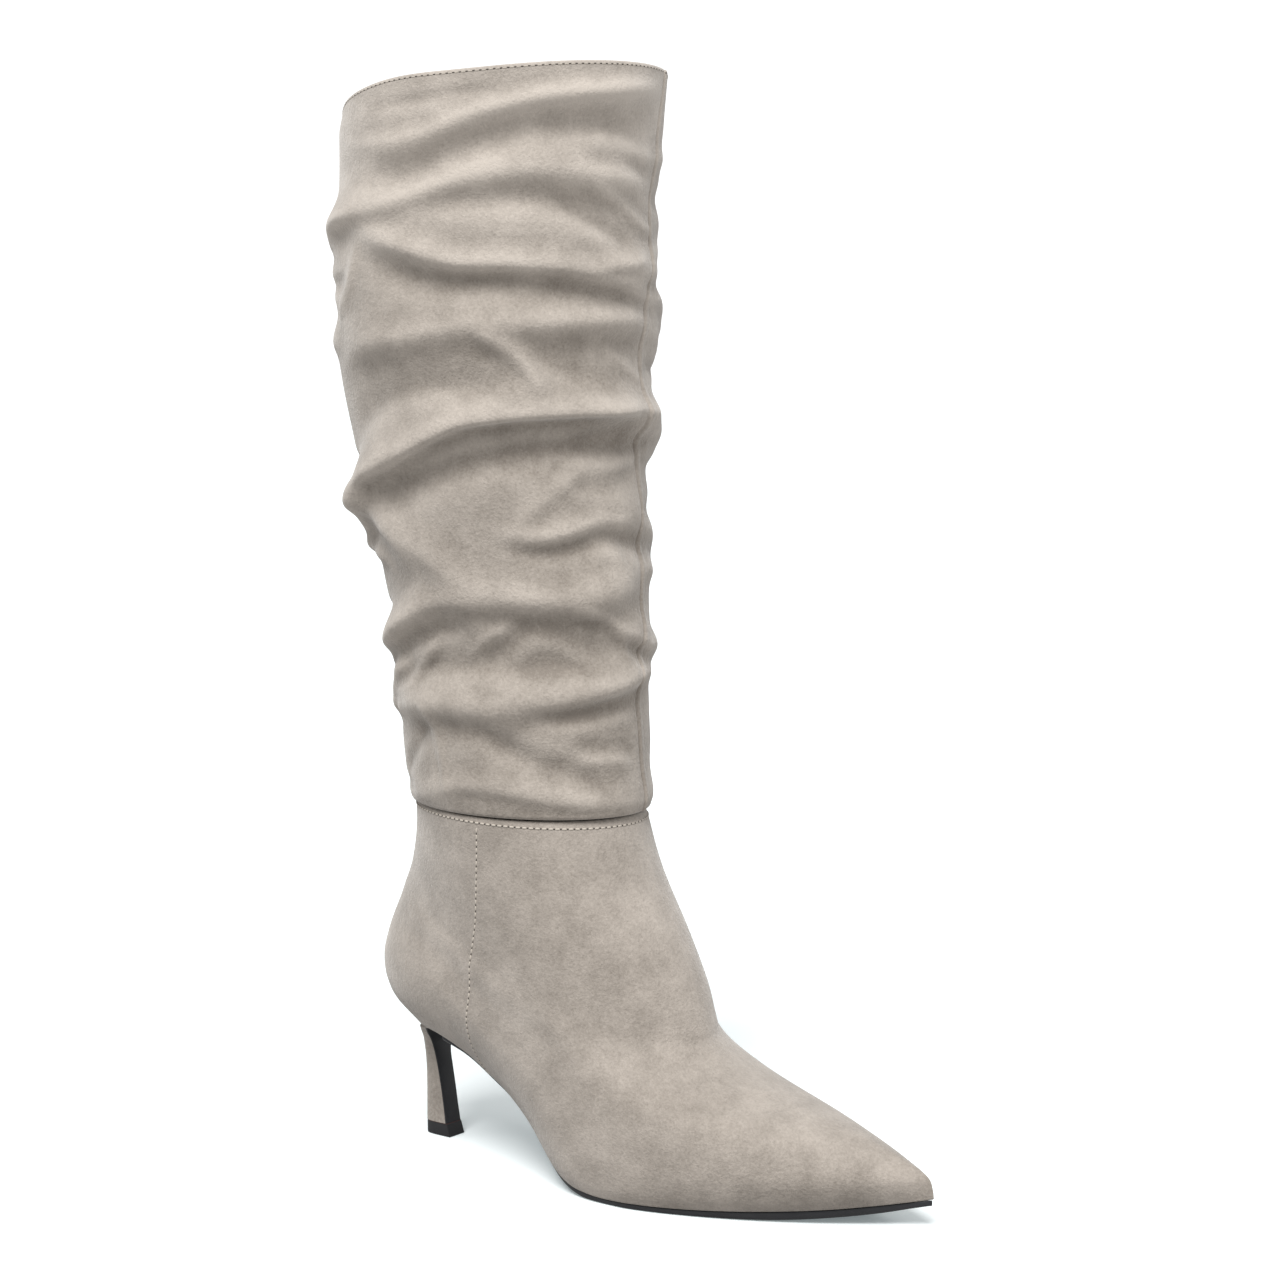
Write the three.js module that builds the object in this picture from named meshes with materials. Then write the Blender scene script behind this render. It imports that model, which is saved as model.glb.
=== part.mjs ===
// A tall slouch boot with a pointed toe and a slim heel, for the right foot.
// Millimetres. The origin is the centre of the heel tip on the floor.
// +X points to the toe, +Y to the inner side of the foot, +Z up.
import * as THREE from "three";

// Main sizes of the boot
const TOE_X = 228.5;
const TOE_SWING = 15.4;
const SWING_START_X = 80;
const WAIST_X = 52;
const WAIST_SPAN = 30;
const WAIST_EASE = 0.6;
const ARCH_FADE = 1.3;
const ANKLE_Z = 145;
const COLLAR_FRONT_Z = 435;
const COLLAR_BACK_Z = 418.3;
const COLLAR_SIDE_TILT = -0.64;

// Thicknesses and clearances
const WALL = 2.2;
const SHAFT_WALL = 2.0;
const TOE_STIFFENER = 2.4;
const TOE_STIFFENER_TO_SHARE = 0.3;
const CLEAR = 0.3;
const LEAN_STEP = 0.5;
const INSOLE_THICK = 2.4;
const BREAST_THICK = 0.9;
const SOLE_TIP_SHORT = 1.4;
const INSOLE_EDGE_CUT = 0.5;
const INSOLE_CLEAR = 0.5;
const INSOLE_BACK_SHORT = 1.4;
const INSOLE_TIP_SHORT = 1.5;
const TOP_PIECE_HEIGHT = 5.2;

// How finely the curved pieces are cut into facets
const FOOT_COLUMNS = 44;
const FOOT_ROWS = 22;
const SHAFT_COLUMNS = 46;
const SHAFT_ROWS = 35;

// Colours
const SUEDE = { color: 0xb3a89d, roughness: 0.95, metalness: 0 };
const BLACK_SOLE = { color: 0x1b1b1d, roughness: 0.5, metalness: 0 };
const BLACK_TIP = { color: 0x151516, roughness: 0.6, metalness: 0 };
const LINING = { color: 0xa79a8b, roughness: 0.9, metalness: 0 };

function table(names, rows) {
  const columns = {};
  names.forEach((name, at) => {
    columns[name] = rows.map((row) => row[at]);
  });
  return columns;
}

// The line where the upper meets the sole, seen from the side
const FEATHER = table(["x", "z"], [
  [-26, 48.6],
  [-8, 48.8],
  [6, 49.6],
  [16, 48.6],
  [28, 43.4],
  [42, 32.2],
  [56, 21.9],
  [70, 14.6],
  [82, 8.6],
  [94, 4.2],
  [106, 2.6],
  [125, 2.5],
  [150, 2.9],
  [175, 4.2],
  [195, 6.0],
  [212, 8.4],
  [232, 11.8],
]);

// The foot as rings, from the sole's edge (share 0) to the ankle seam (share 1).
// Each ring runs from a back point to a front point and is widest at wideX;
// the powers shape its front and back halves, and the waist draws it in.
const FOOT = table(
  ["share", "backX", "backZ", "frontX", "frontZ", "wideX", "half",
    "frontP", "frontQ", "backP", "backQ", "waistOut", "waistIn"],
  [
    [0.00, -6.2, 48.7, 229.0, 11.2, 120.5, 38.0, 1.40, 0.95, 3.0, 2.1, 20.0, 16.0],
    [0.05, -9.6, 52.0, 228.5, 15.0, 121.5, 40.0, 1.45, 1.12, 3.0, 2.1, 17.5, 14.0],
    [0.10, -18.6, 59.0, 227.0, 19.0, 121.5, 41.0, 1.60, 1.22, 3.0, 2.1, 13.0, 11.0],
    [0.17, -23.5, 66.0, 219.0, 24.0, 119.0, 41.5, 1.70, 1.38, 3.0, 2.1, 8.5, 7.5],
    [0.28, -25.5, 77.0, 197.0, 33.0, 113.0, 41.0, 1.85, 1.55, 3.0, 2.1, 3.5, 4.0],
    [0.38, -23.5, 86.0, 165.5, 42.0, 104.0, 40.0, 1.90, 1.65, 2.8, 2.1, 2.0, 2.0],
    [0.48, -21.0, 94.0, 144.5, 50.0, 95.0, 39.0, 1.95, 1.72, 2.6, 2.0, 1.0, 1.0],
    [0.58, -17.0, 102.0, 134.5, 58.0, 84.0, 38.5, 2.00, 1.80, 2.4, 2.0, 0.0, 0.0],
    [0.66, -14.0, 109.0, 132.5, 65.0, 75.0, 38.0, 2.00, 1.86, 2.2, 2.0, 0.0, 0.0],
    [0.73, -10.5, 116.0, 129.5, 76.0, 67.0, 38.0, 2.00, 1.92, 2.1, 2.0, 0.0, 0.0],
    [0.82, -7.0, 126.0, 120.0, 96.0, 58.0, 38.5, 2.00, 1.96, 2.0, 2.0, 0.0, 0.0],
    [0.91, -4.5, 136.0, 105.5, 121.0, 52.0, 39.0, 2.00, 2.00, 2.0, 2.0, 0.0, 0.0],
    [1.00, -3.5, ANKLE_Z, 96.5, ANKLE_Z, 48.0, 39.5, 2.00, 2.00, 2.0, 2.0, 0.0, 0.0],
  ],
);

// The shaft as upright ovals, from the ankle seam (share 0) to the collar (share 1)
const SHAFT = table(["share", "centreX", "depth", "slim"], [
  [0.00, 46.9, 52.2, 0.777],
  [0.10, 44.1, 53.6, 0.80],
  [0.22, 43.3, 53.4, 0.83],
  [0.36, 38.7, 56.7, 0.86],
  [0.50, 33.1, 60.0, 0.89],
  [0.64, 30.3, 64.4, 0.92],
  [0.78, 30.1, 65.0, 0.94],
  [0.90, 32.6, 64.9, 0.942],
  [1.00, 34.5, 66.1, 0.942],
]);

// The folds of the slouched shaft, from the collar down. Angles in degrees:
// 0 front, 90 inner side, 180 back, 270 outer side. Heights along each fold,
// then how far it stands out, its reach up and down, and the dip beneath it.
const FOLDS = table(
  ["from", "to", "zFrom", "zMid", "zTo", "rise", "above", "below", "dip"],
  [
    [225, 390, 407, 421, 428, 2.2, 7, 7, 1.6],
    [200, 290, 366, 380, 391, 4.5, 8, 6, 0.6],
    [265, 380, 385, 397, 385, 2.6, 8, 7, 2.2],
    [262, 440, 370, 363, 320, 3.8, 9, 7, 1.8],
    [222, 392, 325, 341, 337, 3.2, 10, 8, 3.0],
    [198, 312, 238, 286, 308, 7.0, 11, 8, 1.0],
    [285, 440, 308, 304, 275, 5.6, 9, 8, 1.8],
    [205, 325, 284, 257, 234, 3.0, 8, 7, 1.4],
    [325, 430, 273, 261, 238, 1.8, 8, 7, 1.4],
    [198, 290, 206, 218, 240, 6.0, 9, 7, 0.9],
    [278, 374, 237, 232, 236, 2.6, 8, 6, 2.0],
    [325, 415, 230, 218, 206, 2.3, 7, 6, 1.8],
    [204, 276, 175, 204, 213, 3.2, 6, 5, 1.0],
    [200, 398, 186, 193, 203, 2.8, 9, 7, 1.8],
    [283, 347, 161, 157, 149, 1.2, 6, 6, 0.6],
    [30, 215, 426, 415, 405, 2.1, 8, 8, 1.2],
    [14, 216, 381, 371, 374, 1.6, 9, 7, 1.4],
    [118, 246, 344, 353, 348, 3.0, 9, 7, 1.4],
    [30, 150, 338, 348, 336, 3.2, 9, 7, 1.8],
    [22, 222, 330, 316, 308, 4.0, 9, 8, 3.2],
    [25, 222, 298, 286, 263, 4.4, 10, 8, 2.6],
    [30, 150, 251, 257, 246, 3.2, 9, 7, 1.8],
    [112, 224, 238, 232, 214, 2.7, 9, 7, 2.2],
    [12, 132, 205, 215, 221, 3.0, 9, 7, 1.2],
    [60, 218, 199, 192, 187, 2.6, 8, 7, 1.9],
    [20, 140, 173, 170, 172, 1.2, 7, 7, 1.0],
    [-180, 180, 152, 152, 152, 1.2, 7, 6, 0.0],
  ],
);
// Share of a fold's length over which it starts and ends, how much it hangs
// down as it stands out, and how far from the collar and the hem folds fade.
// The dip lies this many reaches below the fold and is nearly a reach wide.
const FOLD_RAMP = 0.32;
const FOLD_SAG = 0.35;
const COLLAR_FADE = 11;
const HEM_FADE = 4.4;
const DIP_BELOW = 1.7;
const DIP_WIDTH = 0.9;

// The heel as level sections with a flat front, from its foot to the seat
const HEEL = table(["z", "backX", "frontX", "half", "power"], [
  [TOP_PIECE_HEIGHT + CLEAR, -7.9, 3.4, 4.5, 4.2],
  [12, -8.0, 2.4, 4.3, 4.0],
  [20, -8.0, 1.1, 4.3, 3.6],
  [28, -8.2, -0.4, 4.4, 3.2],
  [35, -8.7, -1.4, 4.9, 2.8],
  [41, -8.7, -0.8, 7.8, 2.4],
  [45, -7.7, 1.5, 11.2, 2.4],
  [47.5, -7.1, 8.0, 12.6, 2.4],
]);
const HEEL_TOP_BACK_X = -6.5;
const HEEL_TOP_FRONT_X = 15;
const HEEL_TOP_HALF = 15.4;
const HEEL_TOP_POWER = 2.3;
const HEEL_LEVELS = 9;
const HEEL_COLUMNS = 12;

// Outline of the heel's tip at the floor, and how much it grows upward
const TIP_BACK_X = -7.4;
const TIP_FRONT_X = 7.2;
const TIP_HALF = 4.1;
const TIP_POWER = 4.5;
const TIP_GROW = 0.1;

// Underside of the sole from the side, and how far its edge is drawn in
const TREAD = table(["x", "z", "inset"], [
  [HEEL_TOP_FRONT_X, 46.6, 2.6],
  [28, 41.5, 2.2],
  [42, 30.3, 1.8],
  [56, 20.0, 1.5],
  [70, 12.6, 1.2],
  [82, 6.4, 1.0],
  [94, 1.6, 0.8],
  [102, 0.0, 0.7],
  [125, 0.0, 0.7],
  [160, 0.0, 0.7],
  [178, 0.6, 0.8],
  [195, 2.3, 0.9],
  [212, 5.0, 1.0],
  [228, 8.8, 1.2],
]);
const TREAD_FLAT_FROM_X = 102;
const TREAD_FLAT_TO_X = 160;
const SOLE_EDGE_ROUND = 0.55;
const SOLE_TIP_TAPER = 12;
// Least distance between the end section of a sole and the next one
const END_GAP = 0.8;

function smooth(share) {
  const t = Math.min(1, Math.max(0, share));
  return t * t * (3 - 2 * t);
}

// Value of a column at a place between the rows, without corners at the rows
function along(places, values, at) {
  const last = places.length - 1;
  const x = Math.min(places[last], Math.max(places[0], at));
  let i = 0;
  while (i < last - 1 && x >= places[i + 1]) i += 1;
  const slope = (k) => (values[k + 1] - values[k]) / (places[k + 1] - places[k]);
  const tangent = (k) => {
    if (k === 0) return slope(0);
    if (k === last) return slope(last - 1);
    const before = places[k] - places[k - 1];
    const after = places[k + 1] - places[k];
    return (slope(k - 1) * after + slope(k) * before) / (before + after);
  };
  const h = places[i + 1] - places[i];
  const t = (x - places[i]) / h;
  const rest = 1 - t;
  return values[i] * (1 + 2 * t) * rest * rest + h * tangent(i) * t * rest * rest
    + values[i + 1] * t * t * (3 - 2 * t) + h * tangent(i + 1) * t * t * (t - 1);
}

function featherZ(x) {
  return along(FEATHER.x, FEATHER.z, x);
}

// The ring of the foot at one share; pull moves its surface inward
function footRing(share, pull) {
  const at = (name) => along(FOOT.share, FOOT[name], share);
  const step = 0.01;
  const low = Math.max(0, share - step);
  const high = Math.min(1, share + step);
  const shifted = (xName, zName, sign, amount) => {
    const dx = along(FOOT.share, FOOT[xName], high) - along(FOOT.share, FOOT[xName], low);
    const dz = along(FOOT.share, FOOT[zName], high) - along(FOOT.share, FOOT[zName], low);
    const size = Math.hypot(dx, dz);
    return [at(xName) - (sign * amount * dz) / size, at(zName) + (sign * amount * dx) / size];
  };
  const toe = pull * (1 + (TOE_STIFFENER / WALL) * (1 - smooth(share / TOE_STIFFENER_TO_SHARE)));
  const [backX, backZ] = shifted("backX", "backZ", -1, pull);
  const [frontX, frontZ] = shifted("frontX", "frontZ", 1, toe);
  return {
    share,
    backX,
    backZ,
    frontX,
    frontZ,
    wideX: at("wideX"),
    half: at("half") - pull,
    frontP: at("frontP"),
    frontQ: at("frontQ"),
    backP: at("backP"),
    backQ: at("backQ"),
    waistOut: at("waistOut"),
    waistIn: at("waistIn"),
  };
}

// How far the middle line of the shoe has swung to the inner side
function swing(x) {
  const t = (x - SWING_START_X) / (TOE_X - SWING_START_X);
  return TOE_SWING * Math.min(1.05, Math.max(0, t)) ** 2;
}

// Signed sideways place of a ring's edge at x; side is +1 inner, -1 outer
function edgeY(ring, x, side) {
  const front = x >= ring.wideX;
  const reach = front ? ring.frontX - ring.wideX : ring.wideX - ring.backX;
  const share = Math.min(1, Math.abs(x - ring.wideX) / reach);
  const power = front ? ring.frontP : ring.backP;
  const root = front ? ring.frontQ : ring.backQ;
  let y = ring.half * (1 - share ** power) ** (1 / root);
  const waist = side > 0 ? ring.waistIn : ring.waistOut;
  const near = Math.exp(-(((x - WAIST_X) / WAIST_SPAN) ** 2));
  y -= waist * near * Math.sqrt(Math.min(1, y / (WAIST_EASE * ring.half)));
  return side * Math.max(0, y) + swing(x);
}

function ringX(ring, angle) {
  const c = Math.cos(angle);
  const reach = c >= 0 ? ring.frontX - ring.wideX : ring.wideX - ring.backX;
  return ring.wideX + reach * c;
}

function ringPoint(ring, angle) {
  const x = ringX(ring, angle);
  const y = edgeY(ring, x, Math.sin(angle) >= 0 ? 1 : -1);
  if (ring.share === 0) return [x, y, edgeZ(x)];
  const share = (x - ring.backX) / (ring.frontX - ring.backX);
  const chord = ring.backZ + (ring.frontZ - ring.backZ) * share;
  const backFeather = featherZ(ring.backX);
  const frontFeather = featherZ(ring.frontX);
  const sag = featherZ(x) - (backFeather + (frontFeather - backFeather) * share);
  return [x, y, chord + (1 - ring.share) ** ARCH_FADE * sag];
}

function foldShift(degrees, z) {
  let out = 0;
  for (let k = 0; k < FOLDS.from.length; k += 1) {
    const from = FOLDS.from[k];
    const span = FOLDS.to[k] - from;
    const turn = (((degrees - from) % 360) + 360) % 360;
    if (turn > span) continue;
    const t = turn / span;
    const whole = span >= 360;
    const window = whole ? 1 : smooth(t / FOLD_RAMP) * smooth((1 - t) / FOLD_RAMP);
    const line = FOLDS.zFrom[k] * (1 - t) * (1 - 2 * t)
      + FOLDS.zMid[k] * 4 * t * (1 - t) + FOLDS.zTo[k] * t * (2 * t - 1);
    const d = z - line;
    const reach = d > 0 ? FOLDS.above[k] : FOLDS.below[k];
    const dipAt = (d + DIP_BELOW * FOLDS.below[k]) / (DIP_WIDTH * FOLDS.below[k]);
    out += window * FOLDS.rise[k] * Math.exp(-((d / reach) ** 2));
    out -= window * FOLDS.dip[k] * Math.exp(-(dipAt ** 2));
  }
  return out;
}

function shaftPoint(angle, share, pull) {
  const depth = along(SHAFT.share, SHAFT.depth, share);
  const width = depth * along(SHAFT.share, SHAFT.slim, share);
  const c = Math.cos(angle);
  const s = Math.sin(angle);
  const middle = (COLLAR_FRONT_Z + COLLAR_BACK_Z) / 2;
  const top = middle + ((COLLAR_FRONT_Z - COLLAR_BACK_Z) / 2) * c + COLLAR_SIDE_TILT * s;
  const bottom = ANKLE_Z + CLEAR;
  const z = bottom + (top - bottom) * share;
  const fade = smooth((top - z) / COLLAR_FADE) * smooth((z - bottom) / HEM_FADE);
  const out = fade * foldShift((angle * 180) / Math.PI, z);
  const drop = FOLD_SAG * Math.max(0, out);
  return [
    along(SHAFT.share, SHAFT.centreX, share) + (depth + out - pull) * c,
    (width + out - pull) * s,
    z - drop,
  ];
}

// A closed mesh through rows of points; each row closes on itself and the
// last row joins the first one
function ringLoop(rows) {
  const count = rows[0].length;
  const positions = [];
  rows.forEach((row) => row.forEach((point) => positions.push(...point)));
  const index = [];
  for (let j = 0; j < rows.length; j += 1) {
    const next = (j + 1) % rows.length;
    for (let i = 0; i < count; i += 1) {
      const k = (i + 1) % count;
      addQuad(index, rows, j, i, k, next, count);
    }
  }
  return geometryOf(positions, index);
}

function addQuad(index, rows, j, i, k, next, count) {
  const a = j * count + i;
  const b = j * count + k;
  const c = next * count + k;
  const d = next * count + i;
  const gap = (p, q) => Math.hypot(p[0] - q[0], p[1] - q[1], p[2] - q[2]);
  if (gap(rows[j][i], rows[next][k]) <= gap(rows[j][k], rows[next][i])) {
    index.push(a, b, c, a, c, d);
  } else {
    index.push(a, b, d, b, c, d);
  }
}

// A closed mesh through sections of points, closed by a fan at each end
function loft(sections) {
  const count = sections[0].length;
  const positions = [];
  sections.forEach((row) => row.forEach((point) => positions.push(...point)));
  const index = [];
  for (let j = 0; j + 1 < sections.length; j += 1) {
    for (let i = 0; i < count; i += 1) {
      addQuad(index, sections, j, i, (i + 1) % count, j + 1, count);
    }
  }
  const cap = (row, offset, flip) => {
    const middle = positions.length / 3;
    const sum = [0, 0, 0];
    row.forEach((p) => p.forEach((value, at) => {
      sum[at] += value / count;
    }));
    positions.push(...sum);
    for (let i = 0; i < count; i += 1) {
      const k = (i + 1) % count;
      if (flip) index.push(middle, offset + k, offset + i);
      else index.push(middle, offset + i, offset + k);
    }
  };
  cap(sections[0], 0, true);
  cap(sections[sections.length - 1], (sections.length - 1) * count, false);
  return geometryOf(positions, index);
}

function geometryOf(positions, index) {
  const geometry = new THREE.BufferGeometry();
  geometry.setAttribute("position", new THREE.Float32BufferAttribute(positions, 3));
  geometry.setIndex(index);
  geometry.computeVertexNormals();
  return geometry;
}

function steps(from, to, count) {
  return Array.from({ length: count + 1 }, (_, i) => from + ((to - from) * i) / count);
}

function ringAngles(count) {
  return Array.from({ length: count }, (_, i) => (2 * Math.PI * i) / count);
}

// Where the corners of the upper's lowest ring lie along the foot
function edgePlaces(from, to) {
  const ring = footRing(0, 0);
  const half = ringAngles(FOOT_COLUMNS).slice(0, FOOT_COLUMNS / 2 + 1);
  const places = half.map((angle) => ringX(ring, angle));
  return places.filter((x) => x >= from && x <= to).sort((p, q) => p - q);
}

// Height of the upper's lowest edge, with its corners
function edgeZ(x) {
  const ring = footRing(0, 0);
  const places = edgePlaces(-Infinity, Infinity);
  const right = places.findIndex((place) => place > x);
  if (right < 1) return featherZ(Math.min(ring.frontX, Math.max(ring.backX, x)));
  const share = (x - places[right - 1]) / (places[right] - places[right - 1]);
  return featherZ(places[right - 1]) * (1 - share) + featherZ(places[right]) * share;
}

function upperGeometry() {
  const angles = ringAngles(FOOT_COLUMNS);
  const shares = steps(0, 1, FOOT_ROWS);
  const skin = (pull) => shares.map((share) => {
    const ring = footRing(share, pull);
    return angles.map((angle) => ringPoint(ring, angle));
  });
  return ringLoop([...skin(0), ...skin(WALL).reverse()]);
}

function shaftGeometry() {
  const angles = ringAngles(SHAFT_COLUMNS);
  const shares = steps(0, 1, SHAFT_ROWS);
  const skin = (pull) => shares.map((share) => angles.map((a) => shaftPoint(a, share, pull)));
  return ringLoop([...skin(0), ...skin(SHAFT_WALL).reverse()]);
}

// Cross sections of the sole: flat under the tread, its edge rounded beneath
function outsoleGeometry() {
  const ring = footRing(0, 0);
  const start = HEEL_TOP_FRONT_X + BREAST_THICK + 2 * CLEAR;
  const end = ring.frontX - SOLE_TIP_SHORT;
  const places = [start, ...edgePlaces(start + END_GAP, end - END_GAP), end];
  const sections = places.map((x) => {
    const inset = along(TREAD.x, TREAD.inset, x);
    const top = edgeZ(x) - CLEAR;
    const flat = x >= TREAD_FLAT_FROM_X && x <= TREAD_FLAT_TO_X;
    const bottom = flat ? 0 : along(TREAD.x, TREAD.z, x);
    const slim = Math.min(1, (ring.frontX - x) / SOLE_TIP_TAPER);
    const inner = edgeY(ring, x, 1) - inset * slim;
    const outer = edgeY(ring, x, -1) + inset * slim;
    const middle = (inner + outer) / 2;
    const half = (inner - outer) / 2;
    const round = Math.min((top - bottom) * SOLE_EDGE_ROUND, half / 2);
    const at = (share, drop, z) => [x, middle + (half - drop) * share, z];
    const side = (sign) => [
      at(sign, 0, top),
      at(sign, 0, bottom + round),
      at(sign, round / 3, bottom + round / 3),
      at(sign, round, bottom),
    ];
    return [
      ...side(-1),
      at(-1 / 3, 0, bottom),
      at(1 / 3, 0, bottom),
      ...side(1).reverse(),
      at(1 / 3, 0, top),
      at(-1 / 3, 0, top),
    ];
  });
  return loft(sections);
}

function insoleGeometry() {
  const ring = footRing(0, WALL + INSOLE_CLEAR);
  const back = ring.backX + INSOLE_BACK_SHORT;
  const front = ring.frontX - INSOLE_TIP_SHORT;
  const places = [back, ...edgePlaces(back + END_GAP, front - END_GAP), front];
  const sections = places.map((x) => {
    const bottom = edgeZ(x);
    const top = bottom + INSOLE_THICK;
    const inner = edgeY(ring, x, 1);
    const outer = edgeY(ring, x, -1);
    const cut = Math.min(INSOLE_EDGE_CUT, (inner - outer) / 5);
    return [
      [x, outer, top - cut],
      [x, outer, bottom],
      [x, (inner + outer) / 2, bottom],
      [x, inner, bottom],
      [x, inner, top - cut],
      [x, inner - cut, top],
      [x, outer + cut, top],
    ];
  });
  return loft(sections);
}

// One level section of the heel: flat front, rounded back
function heelSection(backX, frontX, half, power, zAt) {
  const points = [];
  for (let i = 0; i <= HEEL_COLUMNS; i += 1) {
    const turn = Math.PI / 2 + (Math.PI * i) / HEEL_COLUMNS;
    const c = Math.abs(Math.cos(turn)) ** (2 / power);
    const s = Math.abs(Math.sin(turn)) ** (2 / power);
    const y = Math.sin(turn) >= 0 ? half * s : -half * s;
    const x = frontX - (frontX - backX) * c;
    points.push([x, y, zAt(x)]);
  }
  points.push([frontX, -half / 3, zAt(frontX)]);
  points.push([frontX, half / 3, zAt(frontX)]);
  return points;
}

function heelLevels() {
  return steps(HEEL.z[0], HEEL.z[HEEL.z.length - 1], HEEL_LEVELS);
}

function heelGeometry() {
  const sections = heelLevels().map((z) => {
    const at = (name) => along(HEEL.z, HEEL[name], z);
    return heelSection(at("backX"), at("frontX"), at("half"), at("power"), () => z);
  });
  const seatZ = (x) => edgeZ(x) - CLEAR;
  const seat = [HEEL_TOP_BACK_X, HEEL_TOP_FRONT_X, HEEL_TOP_HALF, HEEL_TOP_POWER];
  sections.push(heelSection(...seat, seatZ));
  return loft(sections);
}

// Thin black cover on the heel's flat front. The gap behind it is measured square to
// the front, which leans where the heel widens.
function breastGeometry() {
  const sections = heelLevels().map((z) => {
    const front = along(HEEL.z, HEEL.frontX, z);
    const half = along(HEEL.z, HEEL.half, z);
    const lean =
      along(HEEL.z, HEEL.frontX, z + LEAN_STEP) - along(HEEL.z, HEEL.frontX, z - LEAN_STEP);
    const near = front + CLEAR * Math.hypot(1, lean / (2 * LEAN_STEP));
    const far = near + BREAST_THICK;
    return [
      [near, half, z],
      [near, -half, z],
      [far, -half, z],
      [far, half, z],
    ];
  });
  return loft(sections);
}

function topPieceGeometry() {
  const section = (grow, z) => {
    const back = TIP_BACK_X - grow;
    return heelSection(back, TIP_FRONT_X, TIP_HALF + grow, TIP_POWER, () => z);
  };
  return loft([section(0, 0), section(TIP_GROW, TOP_PIECE_HEIGHT)]);
}

const boot = new THREE.Group();
boot.name = "tall_slouch_boot";

function add(name, geometry, look) {
  const mesh = new THREE.Mesh(geometry, new THREE.MeshStandardMaterial(look));
  mesh.name = name;
  boot.add(mesh);
}

add("upper", upperGeometry(), SUEDE);
add("shaft", shaftGeometry(), SUEDE);
add("outsole", outsoleGeometry(), BLACK_SOLE);
add("insole", insoleGeometry(), LINING);
add("heel", heelGeometry(), SUEDE);
add("breast_cover", breastGeometry(), BLACK_SOLE);
add("top_piece", topPieceGeometry(), BLACK_TIP);

export default boot;
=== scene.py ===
"""A tall slouch boot for the right foot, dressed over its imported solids.

The tables are in millimetres and the meshes in metres. X points to the toe, Y to the
inner side of the foot and Z up; the origin is the centre of the heel tip on the floor.
Angles round the leg are in degrees: 0 front, 90 inner side, 180 back, 270 outer side.
"""

import bpy
import numpy as np
from mathutils import Matrix, Vector


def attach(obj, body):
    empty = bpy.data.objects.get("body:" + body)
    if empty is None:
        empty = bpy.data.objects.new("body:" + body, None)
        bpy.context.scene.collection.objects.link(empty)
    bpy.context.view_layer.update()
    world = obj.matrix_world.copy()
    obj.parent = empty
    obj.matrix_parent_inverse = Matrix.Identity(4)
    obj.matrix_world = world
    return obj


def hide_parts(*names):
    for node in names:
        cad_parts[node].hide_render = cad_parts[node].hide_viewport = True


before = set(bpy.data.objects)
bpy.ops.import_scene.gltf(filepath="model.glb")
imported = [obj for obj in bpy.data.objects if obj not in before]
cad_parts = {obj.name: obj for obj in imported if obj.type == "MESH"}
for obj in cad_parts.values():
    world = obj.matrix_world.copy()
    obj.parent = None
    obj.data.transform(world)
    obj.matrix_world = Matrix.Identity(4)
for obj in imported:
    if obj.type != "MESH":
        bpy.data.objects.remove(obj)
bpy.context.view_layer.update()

MM = 0.001
CLEAR = 0.3
WALL = 2.2
# The shaft's own skin, and how far under its outside the lining lies
SHAFT_SKIN = 1.2
LINING_PULLS = [1.7, 2.2]
LINING_TOP_SHARE = 0.993
# The foot's middle line turns to the inner side towards the toe
TOE_X = 228.5
TOE_SWING = 15.4
SWING_START_X = 80
SWING_LIMIT = 1.05
# The waist narrows in a bell along the foot, and the arch's line fades up the foot
WAIST_X = 52
WAIST_SPAN = 30
WAIST_EASE = 0.6
ARCH_FADE = 1.3
RING_STEP = 0.01
TOE_STIFFENER = 2.4
TOE_STIFFENER_TO_SHARE = 0.3
# The shaft's ends, how its folds start and sag, and how they fade out at its ends
ANKLE_Z = 145
COLLAR_FRONT_Z = 435
COLLAR_BACK_Z = 418.3
COLLAR_SIDE_TILT = -0.64
FOLD_RAMP = 0.32
FOLD_SAG = 0.35
COLLAR_FADE = 11
HEM_FADE = 4.4
# The collar's rim is a little higher on the outer side, and drawn in and lower behind it
RIM_LIFT = 1.7
RIM_LIFT_AT = 268
RIM_LIFT_SPAN = 22
RIM_DIP = 3.0
RIM_DIP_AT = 218
RIM_DIP_SPAN = 17
RIM_DRAW = 1.6
RIM_DRAW_DEPTH = 9
# A fold's dip lies this many reaches below its line and is this many reaches wide
DIP_BELOW = 1.7
DIP_WIDTH = 0.9
# How the walls' edges are rounded, and the height that a foot ring's share stands for
FOOT_RISE = 65
FOOT_EDGE_ROLL = 0.5
FOOT_TOP_ROLL = 1.2
HEM_ROLL = 1.6
COLLAR_ROLL = 0.9

# The feather line, where the upper meets the sole, seen from the side: x, z
FEATHER = np.array([
    [-26, 48.6], [-8, 49.5], [6, 50.2], [16, 48.9], [28, 43.4], [42, 32.2], [56, 21.9],
    [70, 14.6], [82, 8.6], [94, 4.2], [106, 2.6], [125, 2.5], [150, 2.9], [175, 4.2],
    [195, 6.0], [212, 8.4], [232, 11.8],
])

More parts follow.
